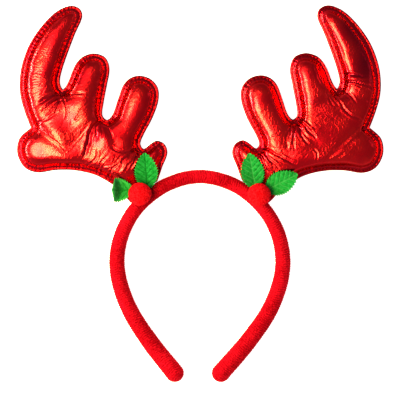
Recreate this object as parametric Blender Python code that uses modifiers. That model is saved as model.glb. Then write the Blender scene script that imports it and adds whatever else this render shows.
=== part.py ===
"""Reindeer antler headband, lying flat on its back with its front face up.

A padded hoop wrapped in plush carries two stuffed antlers. Each antler is a front and a back panel of
metallic cloth, sewn together round the edge and padded. A pair of green cloth holly leaves and a red
pompom berry cover each place where an antler is sewn to the hoop.

Frame: metres, +Z up out of the surface that it lies on, +Y towards the antler tips, +X to its right as
seen from above. The origin is under the middle of its outline.
"""

import math

import bmesh
import bpy
import numpy as np
from mathutils import Vector
from mathutils.geometry import delaunay_2d_cdt

MM = 0.001
COLLECTION = "reindeer_antler_headband"
FIT_GAP = 0.3 * MM
CREASE_DEG = 50.0

# Hoop: its centreline from the left tip over the crown to the right tip. The two legs differ a little
HOOP_LINE = (
    # (x_mm, y_mm)
    (-19.6, -137.8),
    (-39.3, -112.8),
    (-54.7, -88.2),
    (-63.0, -63.5),
    (-63.6, -44.5),
    (-57.9, -25.3),
    (-46.9, -8.6),
    (-25.6, 7.2),
    (0.0, 13.5),
    (26.3, 7.0),
    (47.0, -9.0),
    (58.0, -25.6),
    (63.4, -44.5),
    (62.8, -63.5),
    (54.2, -88.2),
    (37.7, -112.8),
    (16.2, -137.8),
)
TUBE_RADIUS_CROWN = 5.35 * MM
TUBE_RADIUS_TIP = 7.15 * MM
TUBE_SWELL = 1.5
HOOP_STEP = 7.0 * MM
HOOP_SIDE_RESOLUTION = 5
TIP_RINGS = 4
TIP_SWEEP_DEG = 82.0

# Antlers: the flat pattern of one antler, mirrored for the other, in millimetres from the origin
SEAM_Z = 8.1 * MM
PANEL_EDGE = 1.0 * MM
SEAM_ALLOWANCE = 2.3 * MM
SEAM_DIP = 0.25 * MM
PUFF_REACH = 8.6 * MM
PUFF_SHARE = 0.92
PATTERN_STEP = 4.8 * MM
LINING_STEP = 16.0 * MM
EDGE_CLEARANCE = 0.55
FOLD_CLEARANCE = 0.62
MITRE_LIMIT = 0.6
TRIANGLES_INSIDE = 1
SAME_PLACE_MM = 1e-4
ROOT_REACH = 30.0 * MM
ROOT_DROP = 2.5 * MM
ROOT_SHARE = 0.42
REST_SOFT = 0.72
FOLD_FADE = 0.65
ANTLER_CROWN_EDGE = (
    # (x_mm, y_mm), from the notch over the great tine and down to the hoop
    (130.0, 51.0),
    (134.6, 63.0),
    (138.4, 77.8),
    (137.8, 95.5),
    (131.7, 114.0),
    (123.6, 126.8),
    (114.0, 137.4),
    (107.0, 142.4),
    (98.6, 144.8),
    (92.6, 142.2),
    (91.0, 137.0),
    (96.3, 124.0),
    (101.9, 109.4),
    (107.0, 93.9),
    (108.2, 86.0),
    (105.7, 80.1),
    (101.6, 85.6),
    (97.0, 97.0),
    (91.2, 104.8),
    (81.8, 108.0),
    (73.2, 105.0),
    (70.0, 96.6),
    (71.6, 86.0),
    (74.7, 69.3),
    (75.4, 60.4),
    (71.6, 56.7),
    (67.4, 60.6),
    (63.1, 72.4),
    (58.4, 84.4),
    (53.1, 89.3),
    (46.5, 90.9),
    (38.5, 88.5),
    (32.8, 81.8),
    (32.3, 72.4),
    (37.0, 58.5),
    (44.2, 44.8),
    (46.2, 38.4),
    (43.4, 34.3),
    (38.9, 37.5),
    (33.2, 40.8),
    (27.4, 38.0),
    (25.4, 31.5),
    (28.8, 22.3),
)
ANTLER_LOWER_EDGE = (
    # (x_mm, y_mm), from near the hoop along the underside and round the lobe to the notch
    (61.0, 2.6),
    (70.0, 9.3),
    (80.9, 15.0),
    (96.3, 18.5),
    (111.7, 18.7),
    (125.5, 16.9),
    (134.8, 20.6),
    (140.4, 30.8),
    (139.1, 42.2),
    (130.0, 51.0),
)
CROWN_LOW_Y = -30.0 * MM
ROOT_INNER_X = 33.2
ROOT_OUTER_X = {"left": 53.2, "right": 52.8}
EDGE_GROWTH = {"left": 0.25 * MM, "right": 0.6 * MM}

# Folds pressed into the panels: share of the padding's height taken away, width in millimetres, and the
# points that each fold runs through, in millimetres, from its deep end to its shallow end
FOLDS = {
    "left": (
        (0.42, 6.0, ((125.0, 50.0), (114.5, 42.0), (103.5, 35.5), (94.0, 42.0), (84.5, 51.5))),
        (0.38, 6.0, ((109.5, 76.0), (119.0, 71.5), (129.5, 67.0))),
        (0.30, 6.0, ((102.5, 75.5), (95.0, 76.0), (87.0, 77.0))),
        (0.42, 6.0, ((77.5, 54.5), (81.5, 44.0), (86.0, 34.0), (89.5, 26.0))),
        (0.34, 5.0, ((71.5, 51.0), (67.0, 41.5), (64.5, 33.5))),
        (0.45, 6.0, ((49.5, 34.0), (57.5, 28.5), (66.0, 23.0))),
    ),
    "right": (
        (0.42, 6.0, ((125.0, 50.0), (113.5, 41.5), (101.5, 31.0))),
        (0.38, 6.0, ((110.0, 77.5), (119.5, 75.5), (129.5, 74.5))),
        (0.30, 6.0, ((102.0, 74.5), (94.5, 70.5), (88.0, 64.0))),
        (0.36, 6.0, ((76.5, 54.0), (82.0, 46.0), (89.5, 38.5))),
        (0.30, 5.0, ((70.5, 51.0), (67.5, 42.0), (68.5, 33.5))),
        (0.48, 6.0, ((49.5, 34.5), (59.0, 31.5), (69.5, 27.5))),
    ),
}

# Holly leaves: one cut cloth shape, bent along its length and folded along its midrib
LEAF_LENGTH = 29.0 * MM
LEAF_WIDTH = 17.6 * MM
LEAF_THICKNESS = 1.0 * MM
LEAF_FULLNESS = 0.72
LEAF_STEM_SHARE = 0.03
LEAF_TEETH = 16
LEAF_TOOTH = 0.08
LEAF_KEEL = 0.16
LEAF_STEPS_PER_TOOTH = 2
LEAF_BENDS = {
    # pitch above level along the midrib, as (share of the length, degrees)
    "lying": ((0.0, 20.0), (0.2, 27.0), (0.6, 10.0), (1.0, -6.0)),
    "propped": ((0.0, 8.0), (0.2, 29.0), (0.6, 15.0), (1.0, -6.0)),
    "folded_up": ((0.0, 10.0), (0.4, 16.0), (0.56, 76.0), (1.0, 96.0)),
}
LEAVES = (
    # (name, side, base_x_mm, base_y_mm, base_z_mm, heading_deg from +Y outwards, bend)
    ("leaf_left_upper", "left", 40.3, 4.0, 10.5, 4.7, "lying"),
    ("leaf_left_outer", "left", 50.8, 2.8, 12.2, 89.0, "folded_up"),
    ("leaf_right_upper", "right", 42.4, 4.0, 10.5, -9.5, "lying"),
    ("leaf_right_outer", "right", 50.4, 2.6, 11.6, 62.5, "propped"),
)

# Berries: pompoms, flat underneath where they are glued down
BERRY_RADIUS = 8.9 * MM
BERRY_FLAT_DEPTH = 2.4 * MM
BERRY_SEGMENTS = 18
BERRY_RINGS = 11
BERRIES = (
    # (name, side, x_mm, y_mm, glued_z_mm)
    ("berry_left", "left", 46.2, 0.0, 13.4),
    ("berry_right", "right", 45.5, -0.6, 12.3),
)

SIDE_SIGN = {"left": -1.0, "right": 1.0}
FINISHES = {
    # name: (colour, roughness, metallic)
    "red_plush": ((0.80, 0.012, 0.022, 1.0), 0.9, 0.0),
    "red_metallic_cloth": ((0.72, 0.012, 0.018, 1.0), 0.28, 1.0),
    "green_cloth": ((0.035, 0.36, 0.07, 1.0), 0.8, 0.0),
    "red_pompom": ((0.85, 0.012, 0.02, 1.0), 1.0, 0.0),
}


def finish(name):
    """The named material, made once."""
    made = bpy.data.materials.get(name)
    if made:
        return made
    colour, roughness, metallic = FINISHES[name]
    made = bpy.data.materials.new(name)
    made.use_nodes = True
    shader = made.node_tree.nodes["Principled BSDF"]
    shader.inputs["Base Color"].default_value = colour
    shader.inputs["Roughness"].default_value = roughness
    shader.inputs["Metallic"].default_value = metallic
    made.diffuse_color = colour
    return made


def clear_scene():
    """Removes every object, and starts the headband's own collection."""
    for found in list(bpy.data.objects):
        bpy.data.objects.remove(found)
    made = bpy.data.collections.new(COLLECTION)
    bpy.context.scene.collection.children.link(made)
    return made


def add_mesh_object(parts, name, mesh, material):
    """Links a mesh to the scene as one named part, shaded smooth up to a crease angle."""
    mesh.materials.append(finish(material))
    mesh.shade_smooth()
    mesh.set_sharp_from_angle(angle=math.radians(CREASE_DEG))
    made = bpy.data.objects.new(name, mesh)
    parts.objects.link(made)
    return made


def smooth_run(knots, step):
    """Points along a centripetal Catmull-Rom curve through the knots, about a step apart, ends included."""
    known = [Vector(knot) * MM for knot in knots]
    padded = [2 * known[0] - known[1], *known, 2 * known[-1] - known[-2]]
    run = []
    for p0, p1, p2, p3 in zip(padded, padded[1:], padded[2:], padded[3:]):
        before = math.sqrt((p1 - p0).length)
        during = math.sqrt((p2 - p1).length)
        after = math.sqrt((p3 - p2).length)
        leaving = (p1 - p0) / before - (p2 - p0) / (before + during) + (p2 - p1) / during
        arriving = (p2 - p1) / during - (p3 - p1) / (during + after) + (p3 - p2) / after
        count = max(2, round((p2 - p1).length / step))
        for i in range(count):
            t = i / count
            run.append(
                (2 * t**3 - 3 * t**2 + 1) * p1
                + (t**3 - 2 * t**2 + t) * during * leaving
                + (3 * t**2 - 2 * t**3) * p2
                + (t**3 - t**2) * during * arriving
            )
    return [*run, known[-1]]


def hoop_stations():
    """Place and radius of each ring from one end to the other, with each tip rounded off as a half ball."""
    line = smooth_run(HOOP_LINE, HOOP_STEP)
    reached = np.cumsum([0.0, *((b - a).length for a, b in zip(line, line[1:]))])
    from_crown = np.abs(2 * reached / reached[-1] - 1)
    radii = TUBE_RADIUS_CROWN + (TUBE_RADIUS_TIP - TUBE_RADIUS_CROWN) * from_crown**TUBE_SWELL
    stations = [(point, radius, radius) for point, radius in zip(line, radii.tolist())]
    for end, inner in ((0, 1), (-1, -2)):
        tip = line[end]
        outward = (tip - line[inner]).normalized() * TUBE_RADIUS_TIP
        for ring in range(1, TIP_RINGS + 1):
            angle = math.radians(TIP_SWEEP_DEG) * ring / TIP_RINGS
            rounded = (tip + math.sin(angle) * outward, TUBE_RADIUS_TIP, TUBE_RADIUS_TIP * math.cos(angle))
            stations.insert(0 if end == 0 else len(stations), rounded)
    return stations


def build_hoop(parts):
    """The plush-wrapped hoop: a tube that swells towards its two rounded tips and lies on the surface."""
    rings = hoop_stations()
    curve = bpy.data.curves.new("headband_hoop", "CURVE")
    curve.dimensions = "3D"
    curve.bevel_depth = 1.0
    curve.bevel_resolution = HOOP_SIDE_RESOLUTION
    curve.use_fill_caps = True
    spline = curve.splines.new("POLY")
    spline.points.add(len(rings) - 1)
    for point, (place, rest_height, radius) in zip(spline.points, rings):
        point.co = (place.x, place.y, rest_height, 1.0)
        point.radius = radius
    curve.materials.append(finish("red_plush"))
    hoop = bpy.data.objects.new("headband_hoop", curve)
    parts.objects.link(hoop)
    return hoop


def root_arc(side):
    """The antler's root edge, from its inner to its outer corner, close round the outside of the hoop."""
    mirror = SIDE_SIGN[side]
    stations = [(Vector((mirror * place.x, place.y)), radius) for place, radius, _ in hoop_stations()]
    edge = []
    for (before, _), (place, radius), (after, _) in zip(stations, stations[1:], stations[2:]):
        if place.x < 0 or place.y < CROWN_LOW_Y:
            continue
        along = (after - before).normalized() * mirror
        edge.append(place + (radius + FIT_GAP) * Vector((-along.y, along.x)))
    xs, ys = zip(*sorted(tuple(point) for point in edge))
    inner, outer = ROOT_INNER_X * MM, ROOT_OUTER_X[side] * MM
    places = [inner, *(x for x in xs if inner + MM < x < outer - MM), outer]
    return [Vector((x, np.interp(x, xs, ys))) for x in places]


def antler_outline(side, step):
    """The closed pattern edge of an antler, anticlockwise from the notch, and its root edge."""
    root = root_arc(side)
    crown = smooth_run((*ANTLER_CROWN_EDGE, tuple(root[0] / MM)), step)[:-1]
    lower = smooth_run((tuple(root[-1] / MM), *ANTLER_LOWER_EDGE), step)[1:-1]
    edge = np.array([tuple(p) for p in [*crown, *root, *lower]])
    sewn = slice(len(crown), len(crown) + len(root))
    grown = inset(edge, -EDGE_GROWTH[side])
    grown[sewn] = edge[sewn]
    return grown, edge[sewn]


def seam_level(points, root):
    """Height of the seam plane: it comes down to the middle of the hoop at the root."""
    near = np.clip(1 - line_distance(points, root) / ROOT_REACH, 0, 1)
    return SEAM_Z - ROOT_DROP * near**2


def inset(outline, distance):
    """The outline moved inwards by a distance, point for point. The outline runs anticlockwise."""
    ahead = np.roll(outline, -1, axis=0) - outline
    ahead /= np.linalg.norm(ahead, axis=1)[:, None]
    inward = np.stack([-ahead[:, 1], ahead[:, 0]], axis=1)
    mean = inward + np.roll(inward, 1, axis=0)
    mean /= np.linalg.norm(mean, axis=1)[:, None]
    stretch = 1 / np.maximum(MITRE_LIMIT, (mean * inward).sum(axis=1))
    return outline + mean * (distance * stretch)[:, None]


def segment_distance(points, start, end):
    """Distance of each point to a straight segment, and its share of the way along it."""
    along = end - start
    share = np.clip((points - start) @ along / (along @ along), 0, 1)
    return np.linalg.norm(points - start - share[:, None] * along, axis=1), share


def line_distance(points, line, closed=False):
    """Distance of each point to a line of points, or to a closed loop of them."""
    ends = np.roll(line, -1, axis=0)
    spans = list(zip(line, ends)) if closed else list(zip(line, ends))[:-1]
    return np.min([segment_distance(points, a, b)[0] for a, b in spans], axis=0)


def inside(points, loop):
    """Whether each point lies inside a closed loop, by counting crossings."""
    crossings = np.zeros(len(points), int)
    for (ax, ay), (bx, by) in zip(loop, np.roll(loop, -1, axis=0)):
        spans = (ay > points[:, 1]) != (by > points[:, 1])
        crosses_right = (points[:, 1] - ay) * (bx - ax) > (points[:, 0] - ax) * (by - ay)
        crossings += spans & (crosses_right == (by > ay))
    return crossings % 2 == 1


def staggered_grid(loop, step):
    """Points in staggered rows inside a closed loop, clear of its edge."""
    low, high = loop.min(axis=0), loop.max(axis=0)
    row_step = step * math.sqrt(3) / 2
    grid = np.array(
        [
            (low[0] + (i + 0.5 * (j % 2)) * step, low[1] + j * row_step)
            for j in range(int((high[1] - low[1]) / row_step) + 1)
            for i in range(int((high[0] - low[0]) / step) + 1)
        ]
    )
    grid = grid[inside(grid, loop)]
    return grid[line_distance(grid, loop, closed=True) > EDGE_CLEARANCE * step]


def triangulate(points, edges):
    """Triangles over flat points that keep the given edges, and no other points."""
    scaled = [Vector(p) for p in points / MM]
    _, _, faces, origins, _, _ = delaunay_2d_cdt(scaled, edges, [], TRIANGLES_INSIDE, SAME_PLACE_MM)
    assert [found[0] for found in origins] == list(range(len(scaled)))
    return np.array(faces)


def skin_pattern(outline, folds):
    """The panel's pattern as points and triangles: outline, seam line, folds, and a grid between them."""
    seam = inset(outline, SEAM_ALLOWANCE)
    count = len(outline)
    ring = [(i, (i + 1) % count) for i in range(count)]
    edges = ring + [(a + count, b + count) for a, b in ring]
    points = np.concatenate([outline, seam])
    grid = staggered_grid(seam, PATTERN_STEP)
    for _, _, knots in folds:
        run = np.array([tuple(p) for p in smooth_run(knots, PATTERN_STEP)])
        edges += [(len(points) + i, len(points) + i + 1) for i in range(len(run) - 1)]
        points = np.concatenate([points, run])
        away = np.min(np.linalg.norm(grid[:, None] - run[None], axis=2), axis=1)
        grid = grid[away > FOLD_CLEARANCE * PATTERN_STEP]
    points = np.concatenate([points, grid])
    return points, triangulate(points, edges)


def lining_pattern(outline):
    """The panel's inner side as points and triangles, coarse, since it is only bent near the root."""
    ring = [(i, (i + 1) % len(outline)) for i in range(len(outline))]
    points = np.concatenate([outline, staggered_grid(outline, LINING_STEP)])
    return points, triangulate(points, ring)


def padding_height(points, faces, held):
    """Height of the padding over a flat pattern, nothing where it is held.

    It solves a stretched skin under even pressure, laplacian(u) - u / reach^2 = -1, over the triangles.
    The root of 2 u is a round section on a narrow tine, and levels out over a broad palm.
    """
    count = len(points)
    stiffness = np.zeros((count, count))
    area = np.zeros(count)
    for face in faces:
        corners = points[face]
        sides = np.roll(corners, -2, axis=0) - np.roll(corners, -1, axis=0)
        size = abs(sides[0, 0] * sides[1, 1] - sides[0, 1] * sides[1, 0]) / 2
        stiffness[np.ix_(face, face)] += sides @ sides.T / (4 * size)
        area[face] += size / 3
    stiffness[np.diag_indices(count)] += area / PUFF_REACH**2
    free = np.flatnonzero(~held)
    skin = np.zeros(count)
    skin[free] = np.linalg.solve(stiffness[np.ix_(free, free)], area[free])
    return np.sqrt(2 * np.maximum(skin, 0))


def fold_share(points, folds):
    """Share of the padding's height that is left once the folds are pressed in."""
    left = np.ones(len(points))
    for depth, width, knots in folds:
        run = np.array([tuple(p) for p in smooth_run(knots, PATTERN_STEP)])
        pressed = np.zeros(len(points))
        for i, (start, end) in enumerate(zip(run, run[1:])):
            away, share = segment_distance(points, start, end)
            fade = 1 - FOLD_FADE * (i + share) / (len(run) - 1)
            pressed = np.maximum(pressed, fade * np.exp(-((away / (width * MM / 2)) ** 2)))
        left *= 1 - depth * pressed
    return left


def settled(height, level):
    """The padding's height on the side that lies on the surface: it flattens softly where it rests."""
    full = height / level
    over = np.clip(full - REST_SOFT, 0, 2 * (1 - REST_SOFT))
    return level * np.where(full > 2 - REST_SOFT, 1.0, full - over**2 / (4 * (1 - REST_SOFT)))


def build_antler(parts, side):
    """The two padded panels of one antler, either side of the seam plane."""
    outline, root_edge = antler_outline(side, PATTERN_STEP)
    count = len(outline)
    points, faces = skin_pattern(outline, FOLDS[side])
    lining, lining_faces = lining_pattern(outline)
    held = np.arange(len(points)) < 2 * count  # the outline, then the seam line
    away = np.clip(line_distance(points, root_edge) / ROOT_REACH, 0, 1)
    root = ROOT_SHARE + (1 - ROOT_SHARE) * away**2 * (3 - 2 * away)
    height = PUFF_SHARE * padding_height(points, faces, held) * fold_share(points, FOLDS[side]) * root
    height += PANEL_EDGE + FIT_GAP / 2
    height[count : 2 * count] -= SEAM_DIP
    level = seam_level(points, root_edge)
    lining_level = seam_level(lining, root_edge)
    mirror = SIDE_SIGN[side]
    for name, facing, rise in (("front", 1.0, height), ("back", -1.0, -settled(height, level))):
        mesh = bmesh.new()
        skin = [mesh.verts.new((mirror * x, y, z)) for (x, y), z in zip(points, level + rise)]
        base = [
            mesh.verts.new((mirror * x, y, z + facing * FIT_GAP / 2))
            for (x, y), z in zip(lining, lining_level)
        ]
        for face in faces:
            mesh.faces.new([skin[i] for i in face])
        for face in lining_faces:
            mesh.faces.new([base[i] for i in face])
        for i in range(count):
            j = (i + 1) % count
            mesh.faces.new((base[i], base[j], skin[j], skin[i]))
        bmesh.ops.recalc_face_normals(mesh, faces=mesh.faces)
        data = bpy.data.meshes.new(f"antler_{side}_{name}")
        mesh.to_mesh(data)
        mesh.free()
        add_mesh_object(parts, data.name, data, "red_metallic_cloth")


def leaf_half_width(share):
    """Half the leaf's smooth width at a share of its length: fullest near the middle, pointed at the tip."""
    return LEAF_WIDTH / 2 * math.sin(math.pi * share) ** LEAF_FULLNESS if 0 < share < 1 else 0.0


def leaf_midrib(bend, count):
    """Points along the bent midrib as (forward, up)."""
    shares, pitches = zip(*LEAF_BENDS[bend])
    line = [Vector((0.0, 0.0))]
    for i in range(count):
        pitch = math.radians(np.interp((i + 0.5) / count, shares, pitches))
        line.append(line[-1] + LEAF_LENGTH / count * Vector((math.cos(pitch), math.sin(pitch))))
    return line


def build_leaf(parts, name, side, base_x, base_y, base_z, heading, bend):
    """One toothed cloth leaf, from its base under the berry to its tip."""
    count = LEAF_TEETH * LEAF_STEPS_PER_TOOTH
    midrib = leaf_midrib(bend, count)
    mesh = bmesh.new()
    rows = []
    for i, (forward, up) in enumerate(midrib):
        share = LEAF_STEM_SHARE + (1 - LEAF_STEM_SHARE) * i / count
        smooth_half = leaf_half_width(share)
        half = smooth_half * (1 + LEAF_TOOTH * (i % LEAF_STEPS_PER_TOOTH))
        row = [mesh.verts.new((0.0, forward, up))]
        if i < count:
            keel = up + LEAF_KEEL * smooth_half
            row = [mesh.verts.new((-half, forward, keel)), *row, mesh.verts.new((half, forward, keel))]
        rows.append(row)
    for near, far in zip(rows, rows[1:]):
        if len(far) == 1:
            mesh.faces.new((near[0], near[1], far[0]))
            mesh.faces.new((near[1], near[2], far[0]))
            continue
        mesh.faces.new((near[0], near[1], far[1], far[0]))
        mesh.faces.new((near[1], near[2], far[2], far[1]))
    bmesh.ops.recalc_face_normals(mesh, faces=mesh.faces)
    data = bpy.data.meshes.new(name)
    mesh.to_mesh(data)
    mesh.free()
    leaf = add_mesh_object(parts, name, data, "green_cloth")
    leaf.location = (SIDE_SIGN[side] * base_x * MM, base_y * MM, base_z * MM)
    leaf.rotation_euler = (0.0, 0.0, -SIDE_SIGN[side] * math.radians(heading))
    shell = leaf.modifiers.new("cloth thickness", "SOLIDIFY")
    shell.thickness = LEAF_THICKNESS
    shell.offset = 0.0
    return leaf


def build_berry(parts, name, side, x, y, glued_z):
    """One pompom: a ball with a flat patch where it is glued over the leaves."""
    mesh = bmesh.new()
    bmesh.ops.create_uvsphere(mesh, u_segments=BERRY_SEGMENTS, v_segments=BERRY_RINGS, radius=BERRY_RADIUS)
    for vert in mesh.verts:
        vert.co.z = max(vert.co.z, BERRY_FLAT_DEPTH - BERRY_RADIUS)
    data = bpy.data.meshes.new(name)
    mesh.to_mesh(data)
    mesh.free()
    berry = add_mesh_object(parts, name, data, "red_pompom")
    centre_z = glued_z * MM + BERRY_RADIUS - BERRY_FLAT_DEPTH
    berry.location = (SIDE_SIGN[side] * x * MM, y * MM, centre_z)
    return berry


def main():
    parts = clear_scene()
    build_hoop(parts)
    for side in SIDE_SIGN:
        build_antler(parts, side)
    for row in LEAVES:
        build_leaf(parts, *row)
    for row in BERRIES:
        build_berry(parts, *row)


main()
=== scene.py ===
"""Looks of a reindeer antler headband that lies on its back on a pale studio floor.

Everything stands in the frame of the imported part: metres, +Z up from the floor, +Y towards the antler
tips, +X to the right as seen from above. Tables of folds are in millimetres in that frame.
"""

import logging
import math
from collections.abc import Mapping, Sequence
from dataclasses import dataclass, field
from enum import Enum

import bpy
import numpy as np
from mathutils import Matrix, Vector, noise
from mathutils.bvhtree import BVHTree
from mathutils.geometry import delaunay_2d_cdt
from mathutils.kdtree import KDTree

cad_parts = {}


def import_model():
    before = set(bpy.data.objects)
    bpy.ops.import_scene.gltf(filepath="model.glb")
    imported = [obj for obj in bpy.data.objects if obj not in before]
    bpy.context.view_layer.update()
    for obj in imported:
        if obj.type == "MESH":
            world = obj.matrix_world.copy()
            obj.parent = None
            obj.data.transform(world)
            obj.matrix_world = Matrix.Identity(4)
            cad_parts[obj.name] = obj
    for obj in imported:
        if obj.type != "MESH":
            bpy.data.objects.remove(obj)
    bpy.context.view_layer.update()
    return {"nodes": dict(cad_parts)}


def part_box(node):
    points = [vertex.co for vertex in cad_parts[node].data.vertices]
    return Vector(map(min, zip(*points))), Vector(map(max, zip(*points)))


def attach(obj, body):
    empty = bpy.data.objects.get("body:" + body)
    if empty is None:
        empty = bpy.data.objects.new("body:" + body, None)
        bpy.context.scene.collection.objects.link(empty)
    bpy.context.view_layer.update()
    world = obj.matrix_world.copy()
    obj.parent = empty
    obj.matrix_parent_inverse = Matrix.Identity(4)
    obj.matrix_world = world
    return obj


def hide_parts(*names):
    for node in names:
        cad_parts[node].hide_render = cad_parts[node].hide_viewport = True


MM = 0.001
BODY = "root"
LOG = logging.getLogger("headband")

Line = Sequence[Sequence[float]]


class Side(Enum):
    """Which antler, with the sign of its places along X."""

    LEFT = -1.0
    RIGHT = 1.0

    @property
    def label(self) -> str:
        """The word used in the names of nodes."""
        return self.name.lower()


class Facing(Enum):
    """Which panel of an antler, with the sign of the way its padding swells along Z."""

    FRONT = 1.0
    BACK = -1.0

    @property
    def label(self) -> str:
        """The word used in the names of nodes."""
        return self.name.lower()


class Slot(Enum):
    """The material slots of the record."""

    HOOP = "hoop_plush"
    ANTLER = "antler_cloth"
    LEAF = "leaf_cloth"
    BERRY = "berry_pompom"


class Held(Enum):
    """How a leaf is held in place."""

    LAID = "laid"
    FOLDED = "folded"


class Signal:
    """The output of a shader node, which takes part in arithmetic."""

    def __init__(self, graph: "Graph", socket: bpy.types.NodeSocket) -> None:
        """Wraps an output socket of one graph."""
        self.graph = graph
        self.socket = socket

    def __add__(self, other: "Signal | float") -> "Signal":
        """The sum of both."""
        return self.graph.math("ADD", self, other)

    def __sub__(self, other: "Signal | float") -> "Signal":
        """The difference of both."""
        return self.graph.math("SUBTRACT", self, other)

    def __rsub__(self, other: float) -> "Signal":
        """A number less this signal."""
        return self.graph.math("SUBTRACT", other, self)

    def __mul__(self, other: "Signal | float") -> "Signal":
        """The product of both."""
        return self.graph.math("MULTIPLY", self, other)

    def __abs__(self) -> "Signal":
        """The size of this signal, whatever its sign."""
        return self.graph.math("ABSOLUTE", self)

    __radd__ = __add__
    __rmul__ = __mul__


class Graph:
    """The node tree of a material or of the world, around its one shader."""

    def __init__(self, owner: bpy.types.Material | bpy.types.World, shader: str) -> None:
        """Starts with the nodes that Blender gives a new tree.

        Args:
            owner: the material or the world.
            shader: the name of the shader node that the tree comes with.
        """
        owner.use_nodes = True
        self.owner = owner
        self.tree = owner.node_tree
        self.shader = self.tree.nodes[shader]

    @classmethod
    def of_material(cls, name: str, **sockets: object) -> "Graph":
        """Starts a material.

        Args:
            name: the material's name.
            **sockets: the values of its shader's own inputs, named with underscores for spaces.

        Returns:
            The material's nodes.
        """
        graph = cls(bpy.data.materials.new(name), "Principled BSDF")
        graph.dress(**sockets)
        return graph

    def dress(self, **sockets: object) -> None:
        """Sets or links inputs of the shader, named with underscores for spaces."""
        for name, value in sockets.items():
            self.feed(self.shader, name.replace("_", " "), value)

    def add(
        self, kind: str, settings: Mapping[str, object] | None = None, **sockets: object
    ) -> bpy.types.Node:
        """Adds one node.

        Args:
            kind: the node's type, such as ShaderNodeMath.
            settings: its properties, such as a Math node's operation, which are set first.
            **sockets: a value or a signal for each input, by its identifier or its name.

        Returns:
            The node.
        """
        node = self.tree.nodes.new(kind)
        for name, value in (settings or {}).items():
            setattr(node, name, value)
        for name, value in sockets.items():
            self.feed(node, name, value)
        return node

    @staticmethod
    def found(sockets: Sequence[bpy.types.NodeSocket], name: str) -> bpy.types.NodeSocket:
        """The socket with an identifier, or else with a name."""
        named = [socket for socket in sockets if socket.identifier == name]
        return named[0] if named else sockets[name]

    def feed(self, node: bpy.types.Node, name: str, value: object) -> None:
        """Sets or links one input of a node.

        Args:
            node: the node.
            name: the input's identifier or name.
            value: a number, a colour, a vector or a signal.
        """
        socket = self.found(node.inputs, name)
        if isinstance(value, Signal):
            self.tree.links.new(value.socket, socket)
        else:
            socket.default_value = value

    def math(self, operation: str, first: "Signal | float", second: "Signal | float" = 0.0) -> Signal:
        """One Math node on one value or two."""
        node = self.add("ShaderNodeMath", {"operation": operation}, Value=first, Value_001=second)
        return Signal(self, node.outputs[0])

    def smooth(self, value: Signal, low: float, high: float) -> Signal:
        """Carries a value smoothly from 0 to 1.

        Args:
            value: the value.
            low: where it leaves 0.
            high: where it reaches 1.

        Returns:
            The carried value.
        """
        settings = {"interpolation_type": "SMOOTHSTEP"}
        limits = {"From Min": low, "From Max": high}
        node = self.add("ShaderNodeMapRange", settings, Value=value, **limits)
        return Signal(self, node.outputs[0])

    def mixed(self, share: Signal, first: object, second: object) -> Signal:
        """A colour between two others.

        Args:
            share: 0 gives the first colour and 1 the second.
            first: a colour or a signal.
            second: a colour or a signal.

        Returns:
            The mixed colour.
        """
        node = self.add(
            "ShaderNodeMix", {"data_type": "RGBA"}, Factor_Float=share, A_Color=first, B_Color=second
        )
        return Signal(self, self.found(node.outputs, "Result_Color"))

    def place(self, stretch: Sequence[float] = (1.0, 1.0, 1.0)) -> Signal:
        """The place on the piece.

        Args:
            stretch: what each axis is multiplied by.

        Returns:
            The place in metres.
        """
        coordinates = self.add("ShaderNodeTexCoord").outputs["Object"]
        if tuple(stretch) == (1.0, 1.0, 1.0):
            return Signal(self, coordinates)
        node = self.add(
            "ShaderNodeVectorMath",
            {"operation": "MULTIPLY"},
            Vector=Signal(self, coordinates),
            Vector_001=tuple(stretch),
        )
        return Signal(self, node.outputs[0])

    def slanted(self, heading_deg: float, stretch: float) -> Signal:
        """The place on the piece, for patterns that are drawn out along a heading.

        Args:
            heading_deg: the heading, from +X towards +Y.
            stretch: how many times longer the patterns come out that way.

        Returns:
            The place in metres.
        """
        node = self.add(
            "ShaderNodeMapping",
            {"vector_type": "TEXTURE"},
            Vector=self.place(),
            Rotation=(0.0, 0.0, math.radians(heading_deg)),
            Scale=(stretch, 1.0, 1.0),
        )
        return Signal(self, node.outputs[0])

    def clouds(self, pitch_mm: float, detail: float = 2.0, at: Signal | None = None) -> Signal:
        """Soft noise.

        Args:
            pitch_mm: about how wide its patches are.
            detail: how many finer layers it has.
            at: the place to read it at, if not the place on the piece.

        Returns:
            A value from 0 to 1.
        """
        node = self.add(
            "ShaderNodeTexNoise",
            Vector=at or self.place(),
            Scale=1.0 / (pitch_mm * MM),
            Detail=detail,
            Roughness=0.55,
        )
        return Signal(self, node.outputs["Fac"])

    def cells(self, pitch_mm: float, at: Signal) -> Signal:
        """How far a place lies from the edges between random cells.

        Args:
            pitch_mm: about how wide the cells are.
            at: the place.

        Returns:
            The distance, in cells.
        """
        feature = {"feature": "DISTANCE_TO_EDGE"}
        node = self.add("ShaderNodeTexVoronoi", feature, Vector=at, Scale=1.0 / (pitch_mm * MM))
        return Signal(self, node.outputs["Distance"])

    def heading(self) -> tuple[Signal, Signal, Signal]:
        """The direction that the world is looked at in.

        Returns:
            Its parts along X, Y and Z.
        """
        toward = self.add("ShaderNodeTexCoord").outputs["Generated"]
        split = self.add("ShaderNodeSeparateXYZ", Vector=Signal(self, toward))
        return tuple(Signal(self, part) for part in split.outputs)

    def attribute(self, name: str) -> Signal:
        """A value that the mesh carries at its points."""
        return Signal(self, self.add("ShaderNodeAttribute", {"attribute_name": name}).outputs["Fac"])

    def bump(self, height: Signal, depth_mm: float) -> None:
        """Feeds the shader's normal from a height of 0 to 1, which stands for a depth in millimetres."""
        node = self.add("ShaderNodeBump", Height=height, Distance=depth_mm * MM, Strength=1.0)
        self.feed(self.shader, "Normal", Signal(self, node.outputs["Normal"]))


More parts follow.
